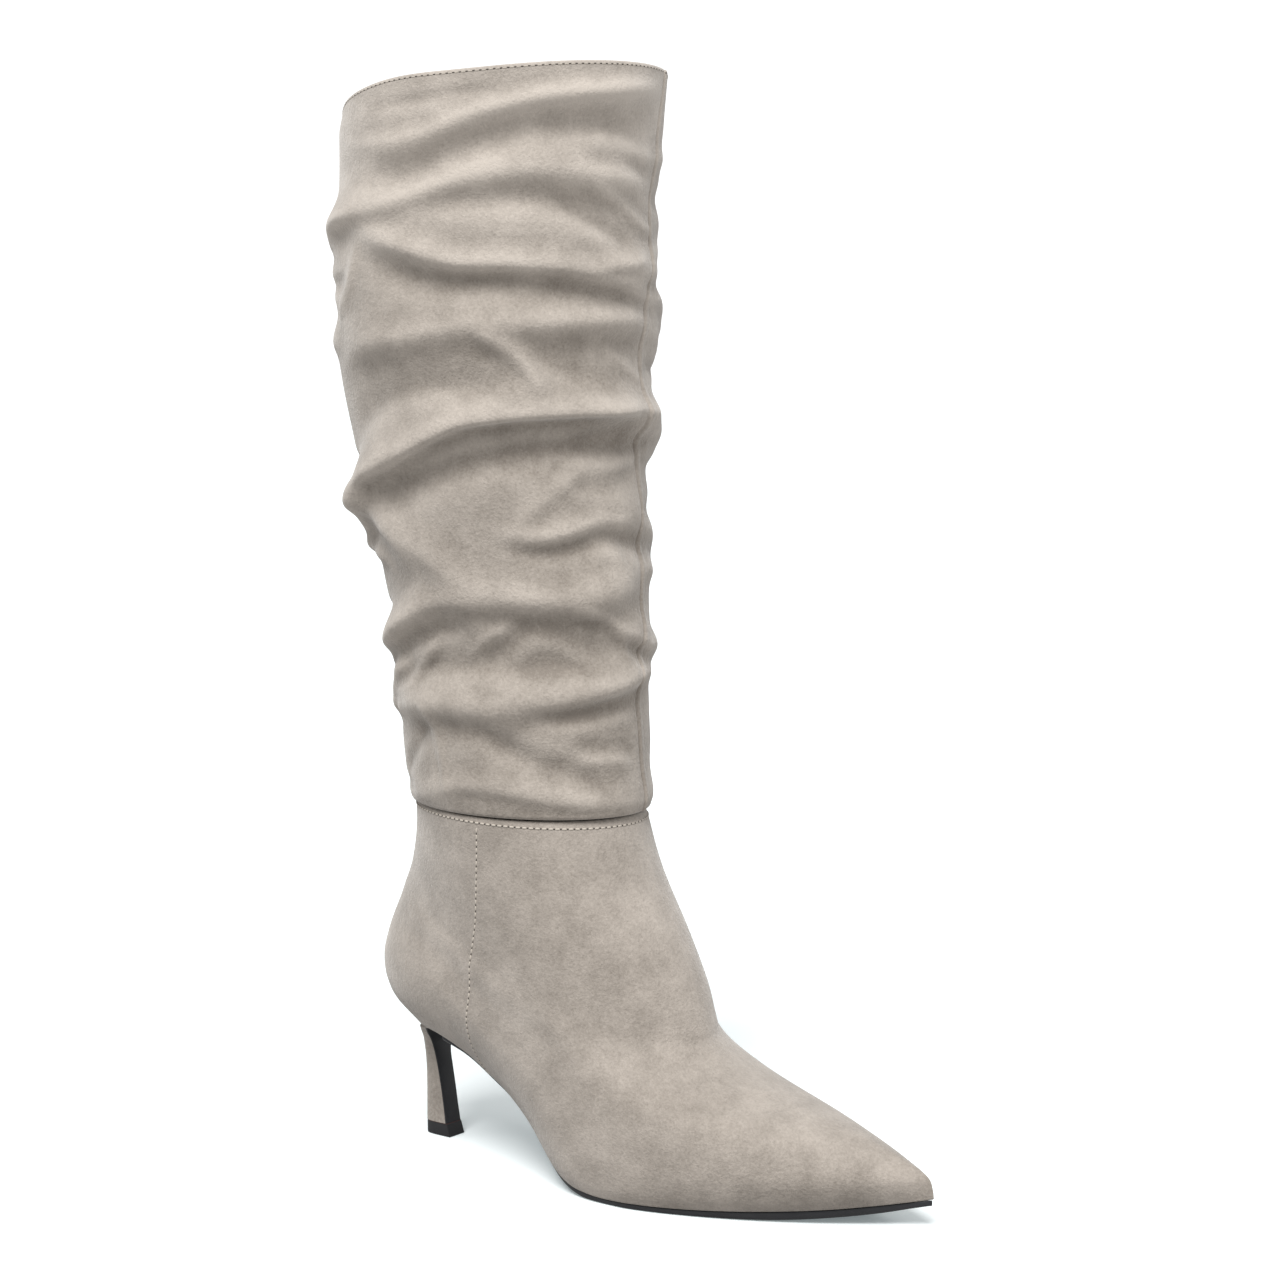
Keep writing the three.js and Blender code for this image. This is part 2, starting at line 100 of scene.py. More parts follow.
# The foot as rings from the sole's edge (share 0) to the ankle seam (share 1)
FOOT_NAMES = (
    "share back_x back_z front_x front_z wide_x half "
    "front_p front_q back_p back_q waist_out waist_in"
).split()
FOOT = np.array([
    [0.00, -7.2, 49.2, 229.0, 11.2, 120.5, 38.0, 1.40, 0.95, 3.0, 2.1, 20.0, 16.0],
    [0.05, -9.6, 52.0, 228.5, 15.0, 121.5, 40.0, 1.45, 1.12, 3.0, 2.1, 17.5, 14.0],
    [0.10, -18.6, 59.0, 227.0, 19.0, 121.5, 41.0, 1.60, 1.22, 3.0, 2.1, 13.0, 11.0],
    [0.17, -23.5, 66.0, 219.0, 24.0, 119.0, 41.5, 1.70, 1.38, 3.0, 2.1, 8.5, 7.5],
    [0.28, -25.5, 77.0, 197.0, 33.0, 113.0, 41.0, 1.85, 1.55, 3.0, 2.1, 3.5, 4.0],
    [0.38, -23.5, 86.0, 165.5, 42.0, 104.0, 40.0, 1.90, 1.65, 2.8, 2.1, 2.0, 2.0],
    [0.48, -21.0, 94.0, 144.5, 50.0, 95.0, 39.0, 1.95, 1.72, 2.6, 2.0, 1.0, 1.0],
    [0.58, -17.0, 102.0, 134.5, 58.0, 84.0, 38.5, 2.00, 1.80, 2.4, 2.0, 0.0, 0.0],
    [0.66, -14.0, 109.0, 132.5, 65.0, 75.0, 38.0, 2.00, 1.86, 2.2, 2.0, 0.0, 0.0],
    [0.73, -10.5, 116.0, 129.5, 76.0, 67.0, 38.0, 2.00, 1.92, 2.1, 2.0, 0.0, 0.0],
    [0.82, -7.0, 126.0, 120.0, 96.0, 58.0, 38.5, 2.00, 1.96, 2.0, 2.0, 0.0, 0.0],
    [0.91, -4.5, 136.0, 105.5, 121.0, 52.0, 39.0, 2.00, 2.00, 2.0, 2.0, 0.0, 0.0],
    [1.00, -3.5, 145.0, 96.5, 145.0, 48.0, 39.5, 2.00, 2.00, 2.0, 2.0, 0.0, 0.0],
])

# The shaft as upright ovals: share of its height, centre x, half its depth, width by depth
SHAFT = np.array([
    [0.00, 46.9, 52.2, 0.777], [0.10, 44.1, 53.6, 0.80], [0.22, 43.3, 53.4, 0.83],
    [0.36, 38.7, 56.7, 0.86], [0.50, 33.1, 60.0, 0.89], [0.64, 30.3, 64.4, 0.92],
    [0.78, 30.1, 65.0, 0.94], [0.90, 32.6, 64.9, 0.942], [1.00, 34.5, 66.1, 0.942],
])

# The folds, as in the solids: from and to degrees, height at the start, middle and
# end, how far it stands out, its reach up and down, and the dip beneath it
FOLDS = [
    [225, 390, 407, 421, 428, 2.2, 7, 7, 1.6],
    [200, 290, 366, 380, 391, 4.5, 8, 6, 0.6],
    [265, 380, 385, 397, 385, 2.6, 8, 7, 2.2],
    [262, 440, 370, 363, 320, 3.8, 9, 7, 1.8],
    [222, 392, 325, 341, 337, 3.2, 10, 8, 3.0],
    [198, 312, 238, 286, 308, 7.0, 11, 8, 1.0],
    [285, 440, 308, 304, 275, 5.6, 9, 8, 1.8],
    [205, 325, 284, 257, 234, 3.0, 8, 7, 1.4],
    [325, 430, 273, 261, 238, 1.8, 8, 7, 1.4],
    [198, 290, 206, 218, 240, 6.0, 9, 7, 0.9],
    [278, 374, 237, 232, 236, 2.6, 8, 6, 2.0],
    [325, 415, 230, 218, 206, 2.3, 7, 6, 1.8],
    [204, 276, 175, 204, 213, 3.2, 6, 5, 1.0],
    [200, 398, 186, 193, 203, 2.8, 9, 7, 1.8],
    [283, 347, 161, 157, 149, 1.2, 6, 6, 0.6],
    [30, 215, 426, 415, 405, 2.1, 8, 8, 1.2],
    [14, 216, 381, 371, 374, 1.6, 9, 7, 1.4],
    [118, 246, 344, 353, 348, 3.0, 9, 7, 1.4],
    [30, 150, 338, 348, 336, 3.2, 9, 7, 1.8],
    [22, 222, 330, 316, 308, 4.0, 9, 8, 3.2],
    [25, 222, 298, 286, 263, 4.4, 10, 8, 2.6],
    [30, 150, 251, 257, 246, 3.2, 9, 7, 1.8],
    [112, 224, 238, 232, 214, 2.7, 9, 7, 2.2],
    [12, 132, 205, 215, 221, 3.0, 9, 7, 1.2],
    [60, 218, 199, 192, 187, 2.6, 8, 7, 1.9],
    [20, 140, 173, 170, 172, 1.2, 7, 7, 1.0],
    [-180, 180, 152, 152, 152, 1.2, 7, 6, 0.0],
]

# The finer creases laid over them: how far each stands out (or lies in, below
# zero), its reach above and below, and the degrees and heights of its crest or bed.
# The outer side first, from the collar down, then the two outlines, then the rest.
CREASES = [
    (-0.9, 3, 3, [(254, 418), (278, 420), (298, 423), (314, 423)]),
    (2.8, 4, 8, [(230, 404), (256, 404), (280, 407), (300, 415), (321, 421), (346, 425),
                 (384, 427)]),
    (-2.4, 7, 7, [(236, 389), (262, 391), (278, 393), (298, 402), (315, 409), (342, 411),
                  (374, 404)]),
    (1.3, 3.5, 3.5, [(332, 405), (350, 405), (362, 402), (382, 398)]),
    (-0.9, 3, 3, [(336, 399), (354, 397), (374, 393)]),
    (1.7, 6, 7, [(250, 379), (270, 382), (294, 390), (322, 394), (344, 391), (376, 389)]),
    (0.9, 3, 4, [(218, 375), (240, 378), (258, 379), (276, 385), (300, 392)]),
    (-1.8, 6, 5, [(270, 380), (290, 382), (312, 383), (326, 383), (340, 377), (354, 370),
                  (374, 366)]),
    (-1.2, 4, 3, [(322, 386), (338, 378), (352, 371), (366, 366)]),
    (1.4, 3, 3, [(338, 390), (350, 385), (358, 381), (368, 375), (384, 370)]),
    (-0.7, 3, 3, [(334, 366), (348, 365), (364, 366)]),
    (1.1, 3, 2.5, [(338, 357), (352, 359), (360, 360), (374, 363)]),
    (3.4, 5, 4.5, [(238, 375), (260, 370), (279, 365), (292, 361), (315, 360), (335, 358),
                   (356, 352), (372, 347), (400, 344)]),
    (-3.0, 4.5, 7, [(246, 363), (264, 358), (281, 353), (312, 351), (336, 348), (354, 346),
                    (384, 343)]),
    (1.2, 4, 4, [(232, 338), (243, 348), (249, 358), (254, 366)]),
    (2.2, 5, 7, [(220, 311), (240, 321), (256, 328), (273, 331), (300, 336), (330, 337),
                 (358, 338), (396, 343)]),
    (-2.4, 8, 5, [(234, 293), (246, 301), (262, 308), (276, 312), (296, 313), (314, 314)]),
    (-2.2, 8, 5, [(312, 327), (326, 323), (338, 317), (350, 312), (366, 308), (384, 306)]),
    (2.4, 4, 4, [(298, 334), (307, 330), (314, 325), (319, 320), (323, 314), (327, 307)]),
    (1.1, 4, 6, [(288, 302), (304, 307), (315, 311), (322, 314), (332, 319)]),
    (0.9, 3, 3, [(344, 331), (352, 326), (360, 321), (368, 316), (378, 311)]),
    (4.8, 6, 3, [(222, 269), (240, 277), (257, 283), (270, 289), (282, 295), (293, 300),
                 (304, 302), (330, 304), (348, 305), (392, 305)]),
    (-3.2, 5, 7, [(242, 266), (259, 272), (275, 278), (288, 282), (302, 285), (322, 288),
                  (340, 290), (352, 293), (366, 298), (380, 302)]),
    (0.9, 3, 3, [(314, 287), (326, 285), (340, 283), (352, 282), (366, 284), (390, 289)]),
    (-1.0, 4, 4, [(328, 277), (342, 274), (356, 275), (374, 279)]),
    (0.9, 4, 4, [(304, 259), (313, 264), (322, 271), (332, 277), (346, 281)]),
    (2.0, 4, 5, [(294, 257), (318, 256), (334, 259), (344, 261), (356, 260), (376, 255)]),
    (-1.8, 4, 4, [(296, 251), (318, 249), (332, 251), (344, 254), (358, 253), (382, 247)]),
    (0.9, 5, 4, [(336, 246), (348, 248), (360, 246)]),
    (3.6, 7, 9, [(206, 272), (222, 267), (240, 260), (256, 252), (271, 245), (281, 239), (290, 235),
                 (312, 232), (334, 234), (346, 237), (362, 239), (384, 241)]),
    (1.4, 6, 9, [(213, 273), (226, 268), (238, 261), (252, 253), (266, 246)]),
    (-1.3, 7, 5, [(276, 226), (290, 224), (308, 221), (323, 218), (336, 214), (350, 210)]),
    (2.4, 6, 4.5, [(220, 206), (240, 219), (253, 225), (264, 229), (282, 230), (302, 229)]),
    (-1.6, 4, 4, [(234, 205), (250, 213), (261, 217), (272, 219), (286, 220)]),
    (1.8, 3, 3, [(220, 188), (236, 193), (245, 197), (253, 204), (260, 210), (270, 218)]),
    (-0.5, 4, 4, [(222, 203), (238, 205), (252, 210)]),
    (-1.6, 5, 5, [(279, 203), (286, 206), (295, 211), (304, 217), (314, 223)]),
    (1.0, 3, 3, [(274, 207), (282, 211), (290, 216), (298, 220), (306, 224)]),
    (0.7, 4, 4, [(290, 202), (300, 208), (308, 212), (317, 213), (326, 210), (338, 205),
                 (352, 203)]),
    (1.4, 3, 3, [(324, 228), (336, 226), (346, 223), (352, 219), (358, 212), (366, 204)]),
    (1.4, 3, 3, [(348, 221), (358, 217), (370, 213), (390, 209)]),
    (-2.8, 11, 5, [(232, 197), (246, 201), (262, 204), (280, 205), (300, 205), (330, 205),
                   (352, 203), (368, 201)]),
    (2.8, 7, 8, [(214, 183), (236, 187), (258, 189), (276, 190), (291, 189), (302, 192),
                 (326, 195), (338, 198), (352, 199), (368, 200), (398, 204)]),
    (-1.8, 4, 5, [(298, 185), (311, 185), (324, 186), (336, 188), (347, 191), (361, 193),
                  (384, 197)]),
    (0.9, 3, 3, [(308, 180), (330, 181), (350, 183), (370, 185)]),
    (-1.4, 4, 4, [(222, 158), (232, 163), (241, 169), (249, 176), (258, 181)]),
    (-1.0, 5, 5, [(258, 180), (274, 179), (286, 177), (296, 173), (310, 169)]),
    (1.0, 4, 4, [(253, 187), (259, 177), (265, 160)]),
    (-0.9, 3.5, 3.5, [(322, 173), (338, 173), (350, 173), (366, 170)]),
    (0.8, 3, 3, [(326, 168), (344, 168), (362, 166)]),
    (-2.3, 6, 7, [(276, 179), (290, 174), (300, 170), (312, 166), (324, 163), (336, 158),
                  (350, 153)]),
    (1.6, 5, 4, [(232, 149), (244, 152), (261, 156), (278, 158), (294, 157), (308, 155),
                 (330, 153), (364, 152)]),
    (1.2, 5, 4, [(194, 368), (220, 366), (242, 364)]),
    (-2.2, 4, 4, [(190, 350), (220, 351), (246, 352)]),
    (1.8, 6, 6, [(186, 327), (214, 329), (240, 331)]),
    (-1.6, 4, 4, [(200, 281), (224, 281), (244, 280)]),
    (2.4, 4, 4, [(192, 250), (216, 248), (246, 244)]),
    (-2.4, 4, 4, [(190, 220), (214, 221), (238, 222)]),
    (1.8, 4, 4, [(200, 201), (224, 201), (246, 203)]),
    (1.4, 4, 4, [(196, 184), (218, 184), (238, 186)]),
    (-1.4, 4, 4, [(192, 154), (216, 153), (240, 152)]),
    (1.0, 4, 4, [(372, 400), (395, 400), (418, 400)]),
    (-1.4, 5, 5, [(372, 384), (395, 384), (418, 384)]),
    (1.0, 4, 4, [(368, 364), (393, 364), (416, 364)]),
    (-2.8, 4.5, 4.5, [(366, 352), (388, 351), (414, 351)]),
    (3.0, 5, 9, [(372, 341), (394, 335), (414, 330), (434, 326)]),
    (-1.4, 4, 4, [(372, 319), (394, 319), (416, 319)]),
    (1.6, 4, 4, [(368, 304), (392, 304), (414, 303)]),
    (2.2, 5, 6, [(370, 287), (396, 284), (418, 282)]),
    (-1.5, 5, 5, [(368, 263), (390, 262), (414, 262)]),
    (2.2, 6, 6, [(370, 243), (396, 241), (420, 240)]),
    (-1.0, 4, 4, [(374, 217), (396, 217), (416, 217)]),
    (1.8, 6, 6, [(370, 204), (396, 200), (420, 196)]),
    (1.8, 7, 5, [(26, 408), (60, 416), (96, 413), (130, 404), (178, 400)]),
    (-1.6, 4, 6, [(34, 397), (64, 404), (100, 402), (140, 392), (186, 388)]),
    (2.2, 7, 4, [(20, 364), (56, 376), (92, 382), (128, 376), (166, 362), (204, 356)]),
    (-1.8, 4, 7, [(30, 354), (62, 364), (98, 370), (134, 362), (170, 350)]),
    (1.6, 5, 4, [(70, 342), (104, 352), (140, 344), (182, 328), (226, 326)]),
    (2.6, 8, 4, [(16, 312), (50, 318), (84, 326), (120, 318), (160, 304), (208, 298)]),
    (-2.2, 4, 8, [(24, 302), (56, 306), (90, 313), (126, 305), (166, 291), (206, 286)]),
    (2.4, 7, 4, [(24, 266), (58, 276), (92, 282), (130, 272), (168, 260), (212, 258)]),
    (-2.0, 4, 7, [(30, 254), (66, 264), (100, 268), (138, 257), (176, 247)]),
    (1.6, 5, 4, [(18, 242), (52, 236), (88, 242), (122, 248), (150, 242)]),
    (2.0, 6, 4, [(40, 210), (78, 220), (112, 222), (150, 210), (196, 202)]),
    (-1.8, 4, 6, [(46, 200), (82, 209), (116, 210), (154, 199), (196, 192)]),
    (1.8, 5, 4, [(30, 182), (66, 188), (104, 182), (142, 172), (196, 176)]),
    (-1.2, 4, 4, [(60, 176), (96, 171), (136, 162), (180, 164)]),
]
# The share of a crease's length over which it eases in and out
CREASE_RAMP = 0.28
# Millimetres round the leg for one degree
ARC_OF_DEGREE = 1.0
CREASE_SAG = 0.5
# How gently the sag of a fold starts
SOFT_TURN = 2.5
# How much of the solids' broad folds the finer creases take over on the outer side
CREASE_SHARE = 0.8
OUTER_SIDE = 300
OUTER_SPAN = 46

# The field that lightens the suede's ridges and darkens its hollows, partly rubbed nap and
# partly painted light and shade: a softened part of how far it stands out, and how far it
# stands out over the rows a few places away
STAND_SHARE = 0.4
STAND_SOFT = 3.5
CREST_SOFT = 0.9
CREST_ROWS = 3
# Painted light and shade: the suede is painted darker near the ankle seam and lighter towards the
# collar: share of the shaft's height, value added
PAINTED_LIGHT_UP_SHAFT = np.array([
    [0, -1.1], [0.25, -0.9], [0.5, -0.4], [0.7, -0.4], [0.8, 0.4], [0.88, 1.1], [1, 1.4],
])

# The front seam's path up the shaft: z, degrees
FRONT_SEAM = np.array([[145, 11], [180, 8], [250, 13], [320, 12], [380, 18], [435, 25]])
# Seams pressed into the shaft: depth and reach of the front and back grooves, and the
# height, distance and reach of the lip beside the front one, on its inner side
FRONT_GROOVE = (0.9, 0.7)
FRONT_LIP = (0.5, 2.2, 1.6)
BACK_GROOVE = (0.5, 0.9)
# The quarter seams down the foot: ring's share, x
QUARTER_SEAM = np.array([
    [0, 39], [0.22, 41.5], [0.39, 44], [0.66, 46.5], [0.77, 49.5], [0.91, 51.5], [1, 52.2],
])

# Stitches, and their rows' shares of the foot's rings or of the shaft's height
STITCH_PITCH = 2.6
STITCH_LENGTH = 1.9
STITCH_RADIUS = 0.4
COLLAR_STITCH_RADIUS = 0.3
COLLAR_STITCH_SINK = 0.08
ANKLE_STITCH_SHARE = 0.987
COLLAR_STITCH_SHARE = 0.9955
QUARTER_STITCH_SHARES = (0.978, 0.012)
STITCH_FLAT = 0.8
PINHOLE_FLAT = 0.12
PINHOLE_WIDTH = 0.75
PINHOLE_OVERLAP = 0.5
# How far before and behind a stitch its direction is taken
FRAME_STEP = 0.4
# Rings of a stitch's capsule: place along it from -1 to 1, and its width there
CAPSULE = np.array([[-1, 0.35], [-0.8, 0.8], [-0.3, 1], [0.3, 1], [0.8, 0.8], [1, 0.35]])

# The heel as level sections, from its foot to the seat: z, back x, front x, half, power
HEEL = np.array([
    [5.5, -7.9, 3.9, 4.6, 4.2], [12, -8.0, 2.9, 4.4, 4.0], [20, -8.1, 1.6, 4.4, 3.6],
    [28, -8.3, 0.1, 4.5, 3.2], [35, -8.9, -1.3, 4.9, 2.8], [41, -9.2, -1.9, 6.7, 2.4],
    [45, -8.1, -0.9, 10.2, 2.4], [47.5, -6.5, 1.0, 13.2, 2.4],
])
# The section on the seat: back x, front x, half, power
HEEL_SEAT = (-6.6, 15, 15.4, 2.3)
HEEL_LEVELS = np.linspace(HEEL[0, 0], HEEL[-1, 0], 60)
# The black plate on the heel's front
BREAST_GAP = 0.05
BREAST_THICK = 0.6
BREAST_TOP_NARROWER = 0.4
# Its front edges: how far behind the face, and how far in from the side
BREAST_BEVEL = [(0.3, 0), (0.08, 0.22), (0, 0.5)]
# The heel's tip, and how far its front draws back over its height
TIP_BACK_X = -7.7
TIP_FRONT_X = 6.4
TIP_FRONT_LEAN = 1.7
TIP_HEIGHT = 5.2
TIP_HALF = 4.6
TIP_POWER = 4.5
# Rows of the tip and of the band above it: inset, z
TIP_ROWS = [(0.3, 0.0), (0.08, 0.1), (0, 0.35), (0, 4.9), (0.05, 5.15), (0.2, 5.2)]
BAND_ROWS = [(0.15, 5.16), (0.08, 5.22), (0.08, 5.38), (0.2, 5.44)]
# The underside of the sole from the side, and how far its edge is drawn in: x, z, inset
TREAD = np.array([
    [15, 46.6, 1.0], [28, 41.5, 0.8], [42, 30.3, 0.7], [56, 20.0, 0.7], [70, 12.6, 0.7],
    [82, 6.4, 1.0], [94, 1.6, 0.8], [102, 0.0, 0.7], [125, 0.0, 0.7], [160, 0.0, 0.7],
    [178, 0.6, 0.8], [195, 2.3, 0.9], [212, 5.0, 1.0], [228, 8.8, 1.2],
])
TREAD_FLAT_X = (102, 160)
SOLE_BACK_X = 16.5
SOLE_TIP_SHORT = 0.8
SOLE_TIP_TAPER = 12
# The sole's rounded edges below and above, as shares of its thickness
SOLE_LOW_ROUND = 0.55
SOLE_HIGH_ROUND = 0.12
# The sock on the insole, and how far it stays short of the wall at its ends
SOCK_BACK_SHORT = 1.2
SOCK_TIP_SHORT = 1.5
SOCK_SOFT = 0.6
# Round the sock's section: side, softened share, height over the sole's edge
SOCK_OUTLINE = [
    (-1, 0, 0.0), (1, 0, 0.0), (1, 0, 1.8), (1, 0.3, 2.2), (1, 1, 2.4),
    (0, 0, 2.4), (-1, 1, 2.4), (-1, 0.3, 2.2), (-1, 0, 1.8),
]

# The photograph's camera in metres and radians: it is turned from +Y towards -X and
# tilted down, and its focal length is given in the photo's pixels
CAMERA_PLACE = (0.79797, -0.90654, 0.35208)
CAMERA_TURN = 0.6546
CAMERA_TILT = 0.11993
FOCAL_PIXELS = 2969.6
PHOTO_PIXELS = 1280
SENSOR_WIDTH = 36
# The studio, in metres
FLOOR_RADIUS = 9
FLOOR_Z = -0.0001
LIGHT_AIM = (0.06, 0, 0.2)
SUN_WAY = (0.24, -0.6, 1.0)
SUN_STRENGTH = 3.5
SUN_SPREAD = 32
# Soft square lights: name, place, size, power
SOFTBOXES = [
    ("left softbox", (-1.5, -1.3, 0.9), 1.0, 3),
    ("right softbox", (1.7, 0.4, 0.9), 1.0, 6),
]

# The suede's noises as scale, detail and roughness, and the range of each that counts
CLOUDS = (26, 2, 0.5)
CLOUD_RANGE = (0.35, 0.65)
PATCHES = (85, 4, 0.62)
PATCH_RANGE = (0.33, 0.67)
GRAIN = (1000, 3, 0.7)
PILE = (520, 3, 0.65)
# How much clouds, patches, grain, pile and the field of rubbed nap with painted light and
# shade weigh in the tone, and its range
TONE_WEIGHTS = (0.38, 0.5, 1.25, 0.7, 0.36)
TONE_RANGE = (0.53, 2.23)
# Colours, from the darkest of a material to its lightest
SHAFT_TONES = ((0.242, 0.21, 0.179), (0.55, 0.492, 0.434))
# The foot's tones are the shaft's suede painted about a fifth darker: painted shade on the foot and
# heel cover
SHADED_FOOT_TONES = ((0.198, 0.171, 0.145), (0.49, 0.436, 0.384))
LINING_TONES = ((0.33, 0.28, 0.23), (0.42, 0.365, 0.305))
SOLE_TONES = ((0.012, 0.012, 0.014), (0.03, 0.031, 0.035))
TIP_TONES = ((0.01, 0.01, 0.011), (0.022, 0.022, 0.024))
BAND_TONES = ((0.05, 0.02, 0.017), (0.085, 0.035, 0.028))
THREAD_TONES = ((0.42, 0.37, 0.31), (0.6, 0.54, 0.47))
PINHOLE_TONES = ((0.05, 0.04, 0.035), (0.1, 0.085, 0.07))
FLOOR_TONES = ((0.87, 0.9, 0.9), (0.89, 0.92, 0.92))
FLOOR_GLOW = (0.86, 0.98, 1.0)
FLOOR_BOUNCE = (0.42, 0.42, 0.42, 1)
SKY_FILL = (0.97, 0.985, 1, 1)
SKY_SEEN = (1, 1, 1, 1)
SHEEN_TINT = (0.95, 0.93, 0.9)


def smooth(share):
    """0 below 0, 1 above 1 and t * t * (3 - 2 * t) between."""
    t = np.clip(share, 0, 1)
    return t * t * (3 - 2 * t)


def bell(distance, reach):
    """1 at no distance, falling to 1 / e at the reach."""
    return np.exp(-(distance / reach) ** 2)


def positive(value):
    """Nothing at zero, rising with the value above it and levelling out below it."""
    return (value + np.sqrt(value ** 2 + SOFT_TURN ** 2) - SOFT_TURN) / 2


def along(places, values, at):
    """Value at each place: a cubic between rows, whose slope at a row is the mean of the
    slopes to both neighbours, each weighed by the other's distance."""
    places = np.asarray(places, float)
    values = np.asarray(values, float)
    x = np.clip(at, places[0], places[-1])
    i = np.clip(np.searchsorted(places, x, "right") - 1, 0, len(places) - 2)
    gaps = np.diff(places)
    slopes = np.diff(values) / gaps
    inner = (slopes[:-1] * gaps[1:] + slopes[1:] * gaps[:-1]) / (gaps[:-1] + gaps[1:])
    tangents = np.concatenate([slopes[:1], inner, slopes[-1:]])
    t = (x - places[i]) / gaps[i]
    rest = 1 - t
    ends = values[i] * (1 + 2 * t) * rest ** 2 + values[i + 1] * t ** 2 * (3 - 2 * t)
    return ends + gaps[i] * (tangents[i] * t * rest ** 2 + tangents[i + 1] * t ** 2 * (t - 1))


def feather(x):
    """Height of the sole's edge at x."""
    return along(FEATHER[:, 0], FEATHER[:, 1], x)


def foot_ring(share, pull):
    """The ring's sizes at a share. Pull moves its front and back points inward, square
    to the line that those points draw from ring to ring, and takes as much off its half.
    The front point moves further low down, where the toe is stiffened."""
    shares = FOOT[:, 0]
    ring = {n: along(shares, FOOT[:, k], share) for k, n in enumerate(FOOT_NAMES)}
    low, high = np.maximum(0, share - RING_STEP), np.minimum(1, share + RING_STEP)
    stiff = TOE_STIFFENER / WALL * (1 - smooth(share / TOE_STIFFENER_TO_SHARE))
    for end, sign, amount in (("back", -1, pull), ("front", 1, pull * (1 + stiff))):
        columns = [FOOT[:, FOOT_NAMES.index(end + axis)] for axis in ("_x", "_z")]
        dx, dz = (along(shares, c, high) - along(shares, c, low) for c in columns)
        size = np.hypot(dx, dz)
        ring[end + "_x"] = ring[end + "_x"] - sign * amount * dz / size
        ring[end + "_z"] = ring[end + "_z"] + sign * amount * dx / size
    ring["half"] = ring["half"] - pull
    return ring


def swing(x):
    """The shoe's middle line goes to the inner side with the square of x past the arch."""
    t = (x - SWING_START_X) / (TOE_X - SWING_START_X)
    return TOE_SWING * np.clip(t, 0, SWING_LIMIT) ** 2


def edge_y(ring, x, side):
    """Signed y of the ring's edge at x: half * (1 - s ** p) ** (1 / q), where s runs from
    0 at the widest place to 1 at the end, less the waist's bell, plus the swing."""
    front = x >= ring["wide_x"]
    reach = np.where(front, ring["front_x"] - ring["wide_x"], ring["wide_x"] - ring["back_x"])
    s = np.minimum(1, np.abs(x - ring["wide_x"]) / reach)
    p = np.where(front, ring["front_p"], ring["back_p"])
    q = np.where(front, ring["front_q"], ring["back_q"])
    y = ring["half"] * (1 - s ** p) ** (1 / q)
    waist = np.where(side > 0, ring["waist_in"], ring["waist_out"])
    near = bell(x - WAIST_X, WAIST_SPAN)
    y = y - waist * near * np.sqrt(np.clip(y / (WAIST_EASE * ring["half"]), 0, 1))
    return side * np.maximum(0, y) + swing(x)


def foot(angle, share, pull=0.0):
    """Points of the foot: x follows the cosine of the angle between the ring's ends, y is
    the ring's edge there, and z is its tilted chord plus the fading line of the arch."""
    ring = foot_ring(share, pull)
    c = np.cos(angle)
    reach = np.where(c >= 0, ring["front_x"] - ring["wide_x"], ring["wide_x"] - ring["back_x"])
    x = ring["wide_x"] + reach * c
    y = edge_y(ring, x, np.where(np.sin(angle) >= 0, 1.0, -1.0))
    t = (x - ring["back_x"]) / (ring["front_x"] - ring["back_x"])
    back, front = feather(ring["back_x"]), feather(ring["front_x"])
    sag = feather(x) - (back + (front - back) * t)
    z = ring["back_z"] + (ring["front_z"] - ring["back_z"]) * t + (1 - share) ** ARCH_FADE * sag
    return np.stack([x, y, z], -1)


def fold_shift(degrees, z):
    """How far the folds stand out: for each, a bell across its line with its own reach
    above and below, less a bell for the dip beneath, both eased in along its length."""
    out = np.zeros(np.broadcast(degrees, z).shape)
    for start, end, z0, z1, z2, rise, above, below, dip in FOLDS:
        span = end - start
        turn = np.mod(degrees - start, 360)
        t = np.clip(turn / span, 0, 1)
        window = smooth(t / FOLD_RAMP) * smooth((1 - t) / FOLD_RAMP)
        window = np.where(turn > span, 0, window) if span < 360 else 1.0
        line = z0 * (1 - t) * (1 - 2 * t) + z1 * 4 * t * (1 - t) + z2 * t * (2 * t - 1)
        d = z - line
        out = out + window * rise * bell(d, np.where(d > 0, above, below))
        out = out - window * dip * bell(d + DIP_BELOW * below, DIP_WIDTH * below)
    return out


def crease_shift(degrees, z):
    """How far the fine creases stand out: a bell across a smooth line through each one's
    places, eased in and out along its length. The distance to a leaning line is the
    height above it over the root of 1 plus its slope squared."""
    out = np.zeros(np.broadcast(degrees, z).shape)
    for rise, above, below, places in CREASES:
        at, height = np.array(places, float).T
        turn = np.mod(degrees - at[0], 360)
        span = at[-1] - at[0]
        t = np.clip(turn / span, 0, 1)
        window = smooth(t / CREASE_RAMP) * smooth((1 - t) / CREASE_RAMP) * (turn <= span)
        ahead, behind = (along(at - at[0], height, turn + step) for step in (1, -1))
        lean = (ahead - behind) / (2 * ARC_OF_DEGREE)
        d = (z - along(at - at[0], height, turn)) / np.sqrt(1 + lean ** 2)
        out = out + window * rise * bell(d, np.where(d > 0, above, below))
    return out


def round_from(degrees, start):
    """Degrees from a start, between -180 and 180."""
    return np.mod(degrees - start + 180, 360) - 180


def seam_shift(degrees, z, depth):
    """How far the shaft is drawn in at its front seam, beside a raised lip, and at its back
    seam. The distances are taken round a circle of the shaft's depth."""
    arc = np.pi / 180 * depth
    front = round_from(degrees, along(FRONT_SEAM[:, 0], FRONT_SEAM[:, 1], z)) * arc
    back = (np.mod(degrees, 360) - 180) * arc
    rise, place, reach = FRONT_LIP
    shift = FRONT_GROOVE[0] * bell(front, FRONT_GROOVE[1]) - rise * bell(front - place, reach)
    return shift + BACK_GROOVE[0] * bell(back, BACK_GROOVE[1])


